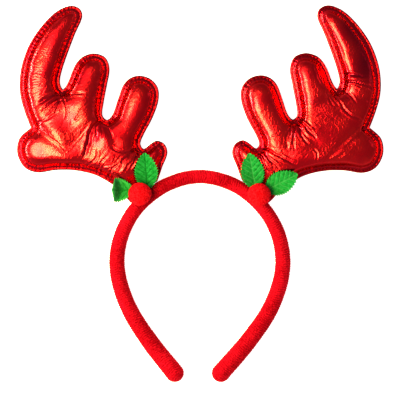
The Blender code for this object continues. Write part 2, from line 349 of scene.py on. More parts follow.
@dataclass(frozen=True)
class MetallicCloth:
    """Red foil-faced cloth under a clear film: a soft mirror, crackled, scratched and worn in patches.

    Each pair of shares says where a pattern starts to show and where it shows in full.
    """

    name: str = "red_metallic_cloth"
    deep: tuple[float, ...] = (0.78, 0.011, 0.03, 1.0)
    bright: tuple[float, ...] = (0.87, 0.028, 0.032, 1.0)
    edge_tint: tuple[float, ...] = (0.7, 0.1, 0.12, 1.0)
    # The painted shade that the crease share mixes into the foil's colour.
    shadowed: tuple[float, ...] = (0.27, 0.0, 0.03, 1.0)
    film: float = 0.35
    film_roughness: float = 0.13
    roughness: float = 0.18
    worn_roughness: float = 0.06
    seam_roughness: float = 0.04
    patch_mm: float = 17.0
    bright_shares: tuple[float, float] = (0.3, 0.7)
    crackle_mm: float = 2.6
    crackle_squash: tuple[float, float, float] = (1.0, 0.7, 1.0)
    crackle_shares: tuple[float, float] = (0.36, 0.6)
    ridge_width: float = 0.2
    ridge_height: float = 0.5
    scratch_mm: float = 3.0
    scratch_deg: float = 48.0
    scratch_stretch: float = 3.2
    scratch_width: float = 0.12
    scratch_height: float = 0.55
    scratch_patch_mm: float = 9.0
    scratch_shares: tuple[float, float] = (0.42, 0.6)
    worn_mm: float = 3.1
    worn_height: float = 0.3
    grain_mm: float = 0.5
    grain_height: float = 0.3
    seam_calm: float = 0.85
    relief_mm: float = 0.11

    def material(self) -> bpy.types.Material:
        """Makes the material.

        Returns:
            The finished material.
        """
        graph = Graph.of_material(
            self.name,
            Specular_Tint=self.edge_tint,
            Coat_Roughness=self.film_roughness,
            Coat_Weight=self.film,
            Metallic=1.0,
        )
        patchy = graph.clouds(self.patch_mm)
        worn = graph.clouds(self.worn_mm)
        seam = graph.attribute("seam")
        foil = graph.mixed(graph.smooth(patchy, *self.bright_shares), self.deep, self.bright)
        # Painted shade: the crease share darkens the foil in the border, the seam groove, the valley beside
        # the padding and the folds' valleys.
        graph.dress(
            Base_Color=graph.mixed(graph.attribute("crease"), foil, self.shadowed),
            Roughness=self.roughness + worn * self.worn_roughness + seam * self.seam_roughness,
        )
        ridges = self.ridges(graph) * graph.smooth(patchy, *self.crackle_shares)
        grain = graph.clouds(self.grain_mm, 1.0)
        fine = ridges * self.ridge_height + self.scratches(graph) * self.scratch_height
        fine = fine + grain * self.grain_height + worn * self.worn_height
        graph.bump(fine * (1.0 - self.seam_calm * seam), self.relief_mm)
        return graph.owner

    def ridges(self, graph: Graph) -> Signal:
        """The ridges of the crackle, which run between random cells."""
        between = graph.cells(self.crackle_mm, graph.place(self.crackle_squash))
        return 1.0 - graph.smooth(between, 0.0, self.ridge_width)

    def scratches(self, graph: Graph) -> Signal:
        """Fine slanted scratches, in patches.

        Args:
            graph: the material's nodes.

        Returns:
            How strongly they show, from 0 to 1.
        """
        slanted = graph.slanted(self.scratch_deg, self.scratch_stretch)
        beside = abs(graph.clouds(self.scratch_mm, 1.0, slanted) - 0.5)
        patches = graph.smooth(graph.clouds(self.scratch_patch_mm), *self.scratch_shares)
        return (1.0 - graph.smooth(beside, 0.0, self.scratch_width)) * patches


@dataclass(frozen=True)
class ThreadFinish:
    """Red sewing thread with a slight gloss."""

    name: str = "red_sewing_thread"
    colour: tuple[float, ...] = (0.5, 0.002, 0.02, 1.0)
    shade: tuple[float, ...] = (0.34, 0.001, 0.012, 1.0)
    roughness: float = 0.45
    twist_mm: float = 0.3
    relief_mm: float = 0.05

    def material(self) -> bpy.types.Material:
        """Makes the material.

        Returns:
            The finished material.
        """
        graph = Graph.of_material(self.name, Roughness=self.roughness)
        strands = graph.clouds(self.twist_mm, 1.0)
        graph.dress(Base_Color=graph.mixed(strands, self.shade, self.colour))
        graph.bump(strands, self.relief_mm)
        return graph.owner


@dataclass(frozen=True)
class PileFinish:
    """Short red pile: soft, with a light bloom where it is seen edge on, a tone that varies at random, and
    painted shade in its grooves and between its tufts.
    """

    name: str
    light: tuple[float, ...]
    dark: tuple[float, ...]
    sheen: float
    tuft_mm: float
    relief_mm: float
    broad_mm: float
    bloom: tuple[float, ...] = (1.0, 0.05, 0.07, 1.0)
    bloom_roughness: float = 0.4
    roughness: float = 0.9
    gloss: float = 0.06
    tuft_share: float = 0.65
    light_shares: tuple[float, float] = (0.34, 0.64)

    def material(self) -> bpy.types.Material:
        """Makes the material.

        Returns:
            The finished material.
        """
        graph = Graph.of_material(
            self.name,
            Roughness=self.roughness,
            Specular_IOR_Level=self.gloss,
            Sheen_Weight=self.sheen,
            Sheen_Roughness=self.bloom_roughness,
            Sheen_Tint=self.bloom,
        )
        tufts = graph.clouds(self.tuft_mm, 3.0)
        broad = graph.clouds(self.broad_mm)
        pile = tufts * self.tuft_share + broad * (1.0 - self.tuft_share)
        # The tone varies at random, and the groove share paints shade into the grooves between ribs or
        # tufts.
        tone_less_painted_shade = graph.smooth(pile, *self.light_shares) * (1.0 - graph.attribute("groove"))
        graph.dress(Base_Color=graph.mixed(tone_less_painted_shade, self.dark, self.light))
        graph.bump(tufts, self.relief_mm)
        return graph.owner


@dataclass(frozen=True)
class LeafFinish:
    """Green leaf cloth: matt felt with pressed veins, lighter where its fibres stand up, with a painted
    highlight along its edges and tip.
    """

    name: str
    vein: tuple[float, ...]
    vein_share: float = 0.7
    light: tuple[float, ...] = (0.04, 0.36, 0.1, 1.0)
    dark: tuple[float, ...] = (0.006, 0.2, 0.035, 1.0)
    bloom: tuple[float, ...] = (0.3, 1.0, 0.35, 1.0)
    sheen: float = 0.12
    roughness: float = 0.8
    gloss: float = 0.08
    fibre_mm: float = 0.8
    fibre_share: float = 0.6
    patch_mm: float = 2.6
    painted_edge_light_share: float = 0.22
    light_shares: tuple[float, float] = (0.33, 0.68)
    relief_mm: float = 0.14

    def material(self) -> bpy.types.Material:
        """Makes the material.

        Returns:
            The finished material.
        """
        graph = Graph.of_material(
            self.name,
            Roughness=self.roughness,
            Specular_IOR_Level=self.gloss,
            Sheen_Weight=self.sheen,
            Sheen_Tint=self.bloom,
        )
        fibres = graph.clouds(self.fibre_mm, 4.0)
        patches = graph.clouds(self.patch_mm)
        felt = fibres * self.fibre_share + patches * (1.0 - self.fibre_share)
        # Lighter where the fibres stand up, plus a painted highlight along the edges and the tip.
        fibre_tone_and_painted_edge_light = graph.smooth(felt + graph.attribute("edge") * self.painted_edge_light_share, *self.light_shares)
        cloth = graph.mixed(fibre_tone_and_painted_edge_light, self.dark, self.light)
        vein = graph.attribute("vein") * self.vein_share
        graph.dress(Base_Color=graph.mixed(vein, cloth, self.vein))
        graph.bump(fibres, self.relief_mm)
        return graph.owner


@dataclass(frozen=True)
class FloorFinish:
    """The plain pale floor, matt, with a little light of its own so that shadows stay soft."""

    name: str = "pale_floor"
    colour: tuple[float, ...] = (0.7, 0.7, 0.7, 1.0)
    roughness: float = 0.9
    gloss: float = 0.1
    glow_colour: tuple[float, ...] = (1.0, 1.0, 1.0, 1.0)
    glow: float = 0.62

    def material(self) -> bpy.types.Material:
        """Makes the material.

        Returns:
            The finished material.
        """
        return Graph.of_material(
            self.name,
            Base_Color=self.colour,
            Roughness=self.roughness,
            Specular_IOR_Level=self.gloss,
            Emission_Color=self.glow_colour,
            Emission_Strength=self.glow,
        ).owner


def smooth_step(value: np.ndarray, low: float, high: float) -> np.ndarray:
    """A value carried smoothly from 0 at low to 1 at high."""
    share = np.clip((value - low) / (high - low), 0.0, 1.0)
    return share * share * (3.0 - 2.0 * share)


def bell(value: np.ndarray, width: float) -> np.ndarray:
    """A bell curve, 1 where the value is 0."""
    return np.exp(-((value / width) ** 2))


def smooth_run(knots: Line, step: float) -> np.ndarray:
    """Points along a centripetal Catmull-Rom curve through the knots, ends included.

    Args:
        knots: the points that the curve runs through, in order.
        step: about how far apart the points lie.

    Returns:
        One row for each point.
    """
    known = np.array(knots, float)
    padded = np.vstack([2 * known[0] - known[1], known, 2 * known[-1] - known[-2]])
    runs = []
    for p0, p1, p2, p3 in zip(padded, padded[1:], padded[2:], padded[3:]):
        spans = ((p0, p1), (p1, p2), (p2, p3))
        before, during, after = (math.sqrt(np.linalg.norm(end - start)) for start, end in spans)
        leaving = (p1 - p0) / before - (p2 - p0) / (before + during) + (p2 - p1) / during
        arriving = (p2 - p1) / during - (p3 - p1) / (during + after) + (p3 - p2) / after
        count = max(2, round(np.linalg.norm(p2 - p1) / step))
        t = np.linspace(0.0, 1.0, count, endpoint=False)[:, None]
        runs.append(
            (2 * t**3 - 3 * t**2 + 1) * p1
            + (t**3 - 2 * t**2 + t) * during * leaving
            + (3 * t**2 - 2 * t**3) * p2
            + (t**3 - t**2) * during * arriving
        )
    return np.vstack([*runs, known[-1:]])


def line_lengths(line: np.ndarray) -> np.ndarray:
    """How far along the line each of its points lies."""
    return np.concatenate([[0.0], np.cumsum(np.linalg.norm(np.diff(line, axis=0), axis=1))])


def respaced(line: np.ndarray, step: float) -> np.ndarray:
    """The same line with its points evenly apart, ends included.

    Args:
        line: the points of the line.
        step: about how far apart the new points lie.

    Returns:
        The new points.
    """
    along = line_lengths(line)
    places = np.linspace(0.0, along[-1], max(2, round(along[-1] / step) + 1))
    return read_along(line, along, places)


def read_along(line: np.ndarray, along: np.ndarray, places: np.ndarray) -> np.ndarray:
    """The points of a line at places along it, given how far along it its own points lie."""
    return np.stack([np.interp(places, along, line[:, axis]) for axis in range(line.shape[1])], axis=-1)


def perlin(points: np.ndarray, pitch: float, seed: float) -> np.ndarray:
    """Gradient noise.

    Args:
        points: flat or solid points.
        pitch: about how wide its patches are.
        seed: another seed gives another pattern.

    Returns:
        A value from about -1 to 1 at each point.
    """
    scaled = points / pitch
    if points.shape[1] == 2:
        return np.array([noise.noise((x, y, seed)) for x, y in scaled])
    return np.array([noise.noise((x + seed, y - seed, z)) for x, y, z in scaled])


def along_line(points: np.ndarray, line: np.ndarray) -> tuple[np.ndarray, np.ndarray, np.ndarray]:
    """How flat points lie to a line.

    Args:
        points: the flat points.
        line: the points of the line.

    Returns:
        The distance to the line, positive on its left, how far along it the nearest place lies, and
        that as a share of its length.
    """
    reached = line_lengths(line)
    away = np.full(len(points), np.inf)
    side = np.ones(len(points))
    along = np.zeros(len(points))
    for start, end, first in zip(line, line[1:], reached):
        step = end - start
        length = float(np.linalg.norm(step))
        to_point = points - start
        share = np.clip(to_point @ step / length**2, 0.0, 1.0)
        distance = np.linalg.norm(to_point - share[:, None] * step, axis=1)
        nearer = distance < away
        away = np.where(nearer, distance, away)
        side = np.where(nearer, np.sign(step[0] * to_point[:, 1] - step[1] * to_point[:, 0]), side)
        along = np.where(nearer, first + share * length, along)
    return away * side, along, along / reached[-1]


def point_normals(points: np.ndarray, faces: np.ndarray) -> np.ndarray:
    """The unit normal at each point of a triangle mesh.

    Args:
        points: the points.
        faces: the numbers of the three points of each triangle.

    Returns:
        One row for each point.
    """
    corners = points[faces]
    across = np.cross(corners[:, 1] - corners[:, 0], corners[:, 2] - corners[:, 0])
    normals = np.zeros_like(points)
    for corner in range(3):
        np.add.at(normals, faces[:, corner], across)
    return normals / np.maximum(np.linalg.norm(normals, axis=1), 1e-12)[:, None]


def grid_faces(rows: int, columns: int, closed: bool = False) -> np.ndarray:
    """Quads over rows of points.

    Args:
        rows: how many rows there are.
        columns: how many points a row has.
        closed: whether each row closes on itself.

    Returns:
        The numbers of the four points of each quad.
    """
    last = columns if closed else columns - 1
    row, column = np.meshgrid(np.arange(rows - 1), np.arange(last), indexing="ij")
    after = (column + 1) % columns
    near, far = row * columns, (row + 1) * columns
    return np.stack([near + column, near + after, far + after, far + column], axis=-1).reshape(-1, 4)


@dataclass
class Piece:
    """One visible piece: its mesh, its finish and the solids that it stands for."""

    name: str
    points: np.ndarray
    faces: list[Sequence[int]]
    finish: bpy.types.Material
    slot: Slot
    replaces: tuple[str, ...] = ()
    values: Mapping[str, np.ndarray] = field(default_factory=dict)

    def place(self) -> bpy.types.Object:
        """Makes the object from points in millimetres and sets it on its body.

        Returns:
            The object.
        """
        mesh = bpy.data.meshes.new(self.name)
        mesh.from_pydata(self.points * MM, [], self.faces)
        mesh.materials.append(self.finish)
        for name, value in self.values.items():
            carried = mesh.attributes.new(name, "FLOAT", "POINT")
            carried.data.foreach_set("value", np.asarray(value, np.float32))
        mesh.shade_smooth()
        mesh.validate()
        made = bpy.data.objects.new(self.name, mesh)
        bpy.context.scene.collection.objects.link(made)
        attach(made, BODY)
        if self.replaces:
            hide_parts(*self.replaces)
        LOG.info("%s: %d faces", self.name, len(mesh.polygons))
        return made


@dataclass(frozen=True)
class Fold:
    """A crease in the cloth, in millimetres, from its deep end to its shallow end.

    A depth under zero makes a raised ridge.
    """

    depth: float
    width: float
    line: Line

    def lift(self, flat: np.ndarray) -> np.ndarray:
        """How far the fold lifts the cloth: a narrow valley with softly raised banks.

        Args:
            flat: the flat points of the cloth.

        Returns:
            The lift at each point.
        """
        sharpness, strength = 0.58, 0.66
        bank_height, bank_place, reach = 0.45, 2.1, 3.0
        fall, tail = 0.55, 0.25
        aside, _, share = along_line(flat, smooth_run(self.line, 2.0))
        near = np.abs(aside) / (sharpness * self.width)
        fade = (1.0 - fall * share) * smooth_step(1.0 - share, 0.0, tail)
        valley = np.exp(-near) - bank_height * bell(near - bank_place, 1.0)
        return -strength * self.depth * fade * valley * bell(np.maximum(near - reach, 0.0), 1.0)


@dataclass(frozen=True)
class Gather:
    """A run of small wrinkles side by side across a line, in millimetres."""

    depth: float
    pitch: float
    reach: float
    line: Line

    def lift(self, flat: np.ndarray, warped: np.ndarray) -> np.ndarray:
        """How far the wrinkles lift the cloth.

        Args:
            flat: the flat points of the cloth.
            warped: the same points, moved about a little so that no wrinkle runs straight.

        Returns:
            The lift at each point.
        """
        strength, wander, ends = 0.35, 0.5, 0.08
        aside, along, share = along_line(warped, smooth_run(self.line, 3.0))
        phase = along / self.pitch + wander * perlin(flat, 4.0, 21.0)
        waves = 1.0 - 2.0 * np.abs(np.sin(math.pi * phase))
        band = bell(aside, self.reach) * smooth_step(share * (1.0 - share), 0.0, ends)
        return strength * self.depth * waves * band * smooth_step(perlin(flat, 7.0, 33.0), -0.5, 0.3)


@dataclass(frozen=True)
class Swell:
    """A broad rise of the padding along a line, in millimetres. A height under zero makes a hollow."""

    height: float
    width: float
    line: Line

    def lift(self, flat: np.ndarray) -> np.ndarray:
        """How far the swell lifts the cloth at its flat points."""
        aside = along_line(flat, smooth_run(self.line, 3.0))[0]
        return self.height * bell(aside, self.width)


LEFT_FOLDS = (
    # (depth, width, points)
    Fold(1.1, 1.5, ((-110.5, 76.5), (-118.5, 72.8), (-126.5, 68.0))),
    Fold(-0.8, 1.4, ((-112.0, 79.0), (-119.5, 75.6), (-127.0, 71.2))),
    Fold(1.0, 1.3, ((-108.5, 74.0), (-116.0, 69.6), (-124.0, 63.4))),
    Fold(-0.6, 1.2, ((-109.5, 72.0), (-117.0, 66.6), (-123.0, 60.0))),
    Fold(0.8, 1.2, ((-108.0, 71.5), (-114.0, 64.6), (-120.5, 56.5))),
    Fold(1.0, 1.5, ((-106.5, 75.0), (-97.0, 77.0), (-86.5, 77.8))),
    Fold(0.7, 1.2, ((-107.0, 73.0), (-109.5, 66.0), (-111.5, 59.0))),
    Fold(0.5, 1.1, ((-105.5, 73.0), (-102.0, 64.0), (-103.5, 56.0))),
    Fold(0.45, 1.0, ((-126.5, 52.5), (-118.5, 46.0), (-110.5, 40.0), (-101.5, 32.5))),
    Fold(0.8, 1.4, ((-126.0, 54.5), (-117.5, 57.5), (-108.5, 63.5))),
    Fold(-0.35, 1.1, ((-101.5, 32.5), (-93.0, 42.5), (-84.5, 51.5), (-79.5, 56.0))),
    Fold(1.8, 2.2, ((-78.5, 56.5), (-83.0, 49.5), (-86.0, 38.5), (-90.0, 25.0))),
    Fold(0.9, 1.2, ((-78.9, 54.5), (-79.8, 49.0), (-79.0, 42.5))),
    Fold(0.7, 1.1, ((-76.5, 54.0), (-75.2, 47.5), (-75.8, 41.0))),
    Fold(0.6, 1.1, ((-72.5, 54.0), (-68.5, 48.0), (-67.5, 42.0))),
    Fold(1.0, 1.4, ((-47.5, 35.5), (-55.0, 32.5), (-63.0, 33.0), (-70.0, 37.5))),
    Fold(-1.2, 1.5, ((-48.5, 33.0), (-54.0, 26.0), (-58.5, 19.5), (-62.0, 14.5))),
    Fold(1.1, 1.4, ((-50.5, 34.0), (-57.5, 27.0), (-62.0, 20.5))),
    Fold(0.9, 1.2, ((-47.0, 31.5), (-51.0, 24.0), (-55.0, 17.0))),
    Fold(0.8, 1.2, ((-86.5, 22.5), (-80.0, 27.0), (-78.5, 35.0))),
    Fold(0.8, 1.2, ((-79.5, 17.5), (-76.0, 24.0), (-70.0, 30.0))),
    Fold(0.7, 1.1, ((-70.5, 13.0), (-67.0, 19.5), (-61.0, 25.0))),
    Fold(-0.5, 1.0, ((-74.0, 20.0), (-66.0, 22.0), (-59.0, 29.0))),
    Fold(0.5, 1.0, ((-96.0, 57.0), (-90.5, 66.0), (-84.0, 71.5))),
)
RIGHT_FOLDS = (
    # (depth, width, points)
    Fold(1.1, 1.4, ((109.5, 92.0), (117.5, 91.8), (127.5, 89.0))),
    Fold(-0.8, 1.3, ((110.5, 89.0), (120.0, 88.8), (131.0, 88.2))),
    Fold(1.0, 1.3, ((112.5, 86.5), (122.0, 85.5), (131.5, 80.5), (134.0, 77.0))),
    Fold(-0.7, 1.2, ((112.0, 83.5), (119.5, 82.5), (125.0, 79.5))),
    Fold(0.8, 1.2, ((110.0, 80.0), (116.5, 75.0), (120.5, 69.0))),
    Fold(0.9, 1.4, ((104.0, 74.5), (113.0, 63.0), (123.5, 56.5), (127.5, 52.0))),
    Fold(-0.7, 1.3, ((101.5, 76.0), (107.0, 69.5), (113.0, 64.5))),
    Fold(0.7, 1.2, ((97.5, 78.0), (100.5, 70.5), (103.5, 66.5))),
    Fold(-0.8, 1.5, ((89.0, 98.0), (92.5, 87.5), (99.0, 79.5), (103.5, 76.0))),
    Fold(0.9, 1.7, ((126.5, 51.0), (119.5, 43.0), (110.0, 35.0), (98.0, 28.0))),
    Fold(-0.9, 2.2, ((123.0, 48.0), (113.5, 38.5), (104.0, 30.0), (95.0, 24.5))),
    Fold(-1.0, 1.3, ((79.5, 56.0), (83.5, 52.5), (88.5, 48.5))),
    Fold(1.0, 1.3, ((78.5, 54.0), (84.0, 48.5), (90.0, 41.5))),
    Fold(-1.1, 1.4, ((77.5, 53.5), (81.5, 47.5), (85.5, 42.5))),
    Fold(1.1, 1.5, ((75.5, 53.5), (78.5, 44.5), (84.5, 37.0))),
    Fold(-1.0, 1.3, ((71.5, 50.0), (69.5, 41.0), (68.0, 32.5))),
    Fold(0.9, 1.2, ((73.0, 51.5), (72.0, 42.5), (72.5, 33.0))),
    Fold(0.8, 1.2, ((69.5, 52.0), (66.5, 44.0), (66.5, 35.5))),
    Fold(1.2, 1.5, ((48.5, 36.0), (56.5, 31.5), (66.0, 26.5), (76.5, 21.0))),
    Fold(-0.9, 1.2, ((50.0, 33.5), (58.5, 28.5), (68.0, 24.0))),
    Fold(1.0, 1.3, ((48.0, 33.0), (54.5, 25.5), (61.5, 19.0))),
    Fold(-1.1, 1.2, ((47.5, 31.5), (53.5, 23.0), (57.0, 15.0))),
    Fold(1.0, 1.3, ((45.5, 31.5), (49.5, 23.0), (53.0, 15.0))),
    Fold(0.6, 1.1, ((89.5, 25.5), (90.0, 31.0), (86.5, 35.5))),
    Fold(0.5, 1.0, ((60.5, 48.0), (57.5, 45.0), (53.5, 44.0))),
)
LEFT_SWELLS = (
    # (height, width, points)
    Swell(1.3, 9.0, ((-91.0, 76.0), (-89.0, 60.0))),
    Swell(1.1, 8.0, ((-111.0, 47.0), (-107.0, 38.0), (-105.0, 28.0))),
    Swell(1.5, 7.5, ((-75.0, 56.0), (-72.0, 44.0))),
)
RIGHT_SWELLS = (
    # (height, width, points)
    Swell(0.6, 8.0, ((108.0, 30.0), (92.0, 26.0))),
    Swell(-0.8, 9.0, ((118.0, 128.0), (127.0, 110.0), (127.0, 94.0))),
)
LEFT_GATHERS = (
    # (depth, pitch, reach, points)
    Gather(0.3, 2.1, 7.0, ((-124.5, 116.0), (-128.5, 100.0), (-128.0, 84.0), (-124.0, 74.0))),
    Gather(0.22, 1.7, 5.0, ((-116.5, 112.0), (-118.5, 98.0), (-117.0, 86.0))),
    Gather(0.2, 2.3, 7.0, ((-99.0, 96.0), (-94.0, 90.0), (-88.0, 80.0))),
)
RIGHT_GATHERS = (
    # (depth, pitch, reach, points)
    Gather(0.28, 2.2, 4.5, ((106.0, 137.0), (117.0, 126.0), (126.0, 112.0))),
    Gather(0.2, 2.4, 6.0, ((46.5, 74.0), (52.0, 60.0), (56.5, 46.0))),
    Gather(0.22, 2.5, 7.0, ((86.0, 78.0), (92.0, 66.0), (98.0, 54.0))),
)


@dataclass
class AntlerPanel:
    """One padded panel of an antler: metallic cloth, sewn round its edge, over stuffing.

    Lengths are in millimetres. The seam runs a little way in from the turned edge. The cloth beyond it
    is a firm roll, then a flat band, and then the padding swells. Shades say how much painted shade
    darkens the cloth's colour in the border, the seam and the valley beside the padding, from 0 to 1, and
    a crease of the full depth is painted as dark as it can be.
    """

    solid: bpy.types.Object
    side: Side
    facing: Facing
    folds: tuple[Fold, ...]
    swells: tuple[Swell, ...]
    gathers: tuple[Gather, ...]
    finish: bpy.types.Material
    thread: bpy.types.Material
    pitch: float = 0.6
    edge_pitch: float = 0.6
    sharp_deg: float = 42.0
    rings: tuple[float, ...] = (0.12, 0.35, 0.65, 1.0, 1.3, 1.55, 1.8, 2.05, 2.3, 2.65, 3.05, 3.5)
    ring_gap: float = 0.45
    roll_width: float = 1.35
    roll_height: float = 1.2
    seam_in: float = 1.85
    seam_width: float = 0.32
    seam_depth: float = 0.6
    seam_fade: float = 1.6
    band_from: float = 1.0
    band_to: float = 2.4
    band_height: float = 0.95
    padding_from: float = 2.5
    padding_to: float = 6.6
    padding_softness: float = 2.2
    fold_fade: float = 2.6
    full_depth: float = 1.1
    plateau: float = 9.4
    plateau_corner: float = 5.0
    pucker_depth: float = 0.16
    pucker_pitch: float = 3.4
    billow: tuple[float, float] = (0.16, 17.0)
    crumple: tuple[tuple[float, float], ...] = ((0.11, 6.5), (0.07, 3.0))
    crumple_deg: float = 52.0
    crumple_stretch: float = 2.8
    crumple_sharpness: float = 0.08
    crumpling: float = 1.0
    # How strongly painted shade darkens the cloth's colour in the border, the seam groove and the valley
    # beside the padding.
    border_shade: float = 0.45
    seam_shade: float = 0.4
    valley_shade: float = 0.25
    darkest: float = 0.85
    raster: float = 0.7
    stitch: float = 2.3
    stitch_gap: float = 0.5
    thread_radius: float = 0.15
    fill: float = 0.75

    @property
    def node(self) -> str:
        """The name of the panel's solid."""
        return self.solid.name

    def build(self) -> None:
        """Makes the panel and the stitches along its seam."""
        outline = self.edge_line()
        flat, faces = self.pattern(outline)
        away, along = self.from_edge(flat, outline)
        level, puff = self.padding(flat)
        raised = self.rim(away, along) + puff * smooth_step(away, self.padding_from, self.padding_to)
        skin = np.column_stack([flat, level + self.facing.value * raised])
        if self.facing is Facing.BACK:
            faces = faces[:, ::-1]
        swelling = smooth_step(away, self.padding_from, self.padding_from + self.fold_fade)
        pressed = self.creases(flat) * swelling
        skin += point_normals(skin, faces) * pressed[:, None]
        if self.facing is Facing.BACK:
            skin[:, 2] = np.maximum(skin[:, 2], 0.0)
        lining_faces = self.triangles(outline, closed_ring(len(outline)))
        if self.facing is Facing.FRONT:
            lining_faces = lining_faces[:, ::-1]
        shown = Piece(
            f"{self.node}_cloth",
            skin,
            [*faces.tolist(), *lining_faces.tolist()],
            self.finish,
            Slot.ANTLER,
            (self.node,),
            {
                "seam": 1.0 - smooth_step(away, self.seam_in, self.padding_from + self.seam_fade),
                # The crease share is painted shade: in the border, the seam, the valley beside the padding
                # and the folds' valleys, less on their ridges.
                "crease": np.clip(self.painted_shade_share(away) - pressed / self.full_depth, 0.0, self.darkest),
            },
        ).place()
        self.stitches(outline, skin, flat)

    def edge_line(self) -> np.ndarray:
        """The turned edge of the panel, which the upright rim of its solid follows.

        Returns:
            Evenly spaced flat points round it, anticlockwise, keeping its sharp corners.
        """
        upright = 0.05
        places = mesh_points(self.solid)
        beside: dict[tuple[float, float], set[tuple[float, float]]] = {}
        for face in self.solid.data.polygons:
            if abs(face.normal.z) > upright:
                continue
            keys = [tuple(np.round(places[i][:2], 2)) for i in face.vertices]
            for one, other in zip(keys, [*keys[1:], keys[0]]):
                if one != other:
                    beside.setdefault(one, set()).add(other)
                    beside.setdefault(other, set()).add(one)
        start = min(beside)
        loop = [start]
        came, here = None, start
        while True:
            onward = [key for key in beside[here] if key != came]
            came, here = here, min(onward, key=lambda key: math.dist(key, here))
            if here == start or len(loop) > len(beside):
                break
            loop.append(here)
        corners = np.array(loop)
        if signed_area(corners) < 0:
            corners = corners[::-1]
        return self.rounded(corners)

    def rounded(self, corners: np.ndarray) -> np.ndarray:
        """Smooths the edge between its sharp corners.

        Args:
            corners: the corners of the solid's edge, anticlockwise.

        Returns:
            Evenly spaced points on a closed line through the corners.
        """
        ahead = np.roll(corners, -1, axis=0) - corners
        heading = np.arctan2(ahead[:, 1], ahead[:, 0])
        turn = (heading - np.roll(heading, 1) + math.pi) % (2 * math.pi) - math.pi
        sharp = np.flatnonzero(np.abs(turn) > math.radians(self.sharp_deg))
        corners = np.roll(corners, -sharp[0], axis=0)
        stops = [*(sharp - sharp[0]), len(corners)]
        looped = np.vstack([corners, corners[:1]])
        runs = []
        for first, last in zip(stops, stops[1:]):
            run = looped[first : last + 1]
            fine = smooth_run(run, self.edge_pitch) if len(run) > 2 else run
            runs.append(respaced(fine, self.edge_pitch)[:-1])
        return np.vstack(runs)

    def pattern(self, outline: np.ndarray) -> tuple[np.ndarray, np.ndarray]:
        """Lays out the cloth: its edge, rings along the seam, and a fine field.

        Args:
            outline: the turned edge.

        Returns:
            The flat points, and the numbers of the three points of each triangle.
        """
        sets, edges, count = [outline], closed_ring(len(outline)), len(outline)
        for distance in self.rings:
            ring = inset(outline, distance)
            kept = self.clear_of_edge(ring, outline, distance)
            numbers = count + np.cumsum(kept) - 1
            follows = np.flatnonzero(kept[:-1] & kept[1:])
            edges += [(int(numbers[i]), int(numbers[i + 1])) for i in follows]
            if kept[0] and kept[-1]:
                edges.append((int(numbers[-1]), int(numbers[0])))
            sets.append(ring[kept])
            count += int(kept.sum())
        low, high = outline.min(axis=0), outline.max(axis=0)
        row = self.pitch * math.sqrt(3) / 2
        x, y = np.meshgrid(np.arange(low[0], high[0], self.pitch), np.arange(low[1], high[1], row))
        x += 0.5 * self.pitch * (np.arange(len(x)) % 2)[:, None]
        spread = np.column_stack([x.ravel(), y.ravel()])
        spread = spread[inside(spread, outline)]
        sets.append(spread[self.from_edge(spread, outline)[0] > self.rings[-1] + self.ring_gap])
        flat = np.vstack(sets)
        return flat, self.triangles(flat, edges)

    @staticmethod
    def triangles(flat: np.ndarray, edges: list[tuple[int, int]]) -> np.ndarray:
        """Fills a flat outline with triangles.

        Args:
            flat: the flat points.
            edges: the numbers of the two points of each edge that the triangles keep.

        Returns:
            The numbers of the three points of each triangle.
        """
        inside_only, same_place = 1, 1e-5
        found = delaunay_2d_cdt([Vector(p) for p in flat], edges, [], inside_only, same_place)
        faces = [[found[3][i][0] for i in face] for face in found[2] if all(found[3][i] for i in face)]
        return np.array(faces)

    @staticmethod
    def from_edge(flat: np.ndarray, outline: np.ndarray) -> tuple[np.ndarray, np.ndarray]:
        """How flat points lie to the closed edge.

        Args:
            flat: the flat points.
            outline: the edge.

        Returns:
            The distance of each point to the edge, and how far along it the nearest place is.
        """
        nearest = nearest_points(flat, outline)
        reached = line_lengths(np.vstack([outline, outline[:1]]))
        away = np.full(len(flat), np.inf)
        along = np.zeros(len(flat))
        for first in (nearest, (nearest - 1) % len(outline)):
            start, end = outline[first], outline[(first + 1) % len(outline)]
            step = end - start
            share = np.clip(((flat - start) * step).sum(1) / (step * step).sum(1), 0.0, 1.0)
            distance = np.linalg.norm(flat - start - share[:, None] * step, axis=1)
            along = np.where(distance < away, reached[first] + share * np.linalg.norm(step, axis=1), along)
            away = np.minimum(away, distance)
        return away, along

    def clear_of_edge(self, ring: np.ndarray, outline: np.ndarray, distance: float) -> np.ndarray:
        """Which points of an inset edge really lie that far in, and not too near another stretch."""
        return self.from_edge(ring, outline)[0] > 0.96 * distance

    def padding(self, flat: np.ndarray) -> tuple[np.ndarray, np.ndarray]:
        """The lining's height and how far the padding swells above it, read from the solid.

        Args:
            flat: the flat points to read at.

        Returns:
            The height of the lining, and the swell of the padding beyond the sewn band.
        """
        margin, sky, solid_spread, least = 6.0, 60.0, 2.0, 1e-3
        sides = [tuple(face.vertices) for face in self.solid.data.polygons]
        tree = BVHTree.FromPolygons(mesh_points(self.solid), sides)
        low = flat.min(axis=0) - margin
        size = np.ceil((flat.max(axis=0) + margin - low) / self.raster).astype(int)
        far = sky * self.facing.value
        toward = Vector((0.0, 0.0, -self.facing.value))
        skin, lining = np.zeros(tuple(size)), np.zeros(tuple(size))
        for i, j in np.ndindex(*size):
            x, y = low + (np.array((i, j)) + 0.5) * self.raster
            hit = tree.ray_cast((x, y, far), toward)[0]
            if hit is not None:
                skin[i, j] = hit.z
                lining[i, j] = tree.ray_cast((x, y, -far), -toward)[0].z
        solid_here = (skin != 0.0) | (lining != 0.0)
        swell = np.where(solid_here, np.abs(skin - lining) - self.band_height, 0.0)
        eased = np.sqrt(blurred(np.maximum(swell, 0.0) ** 2, self.padding_softness / self.raster))
        corner = self.plateau_corner
        eased = eased / (1.0 + (eased / self.plateau) ** corner) ** (1.0 / corner)
        shares = blurred(solid_here.astype(float), solid_spread)
        levelled = blurred(np.where(solid_here, lining, 0.0), solid_spread) / np.maximum(shares, least)
        cells = (flat - low) / self.raster - 0.5
        return sampled(levelled, cells), sampled(eased, cells)

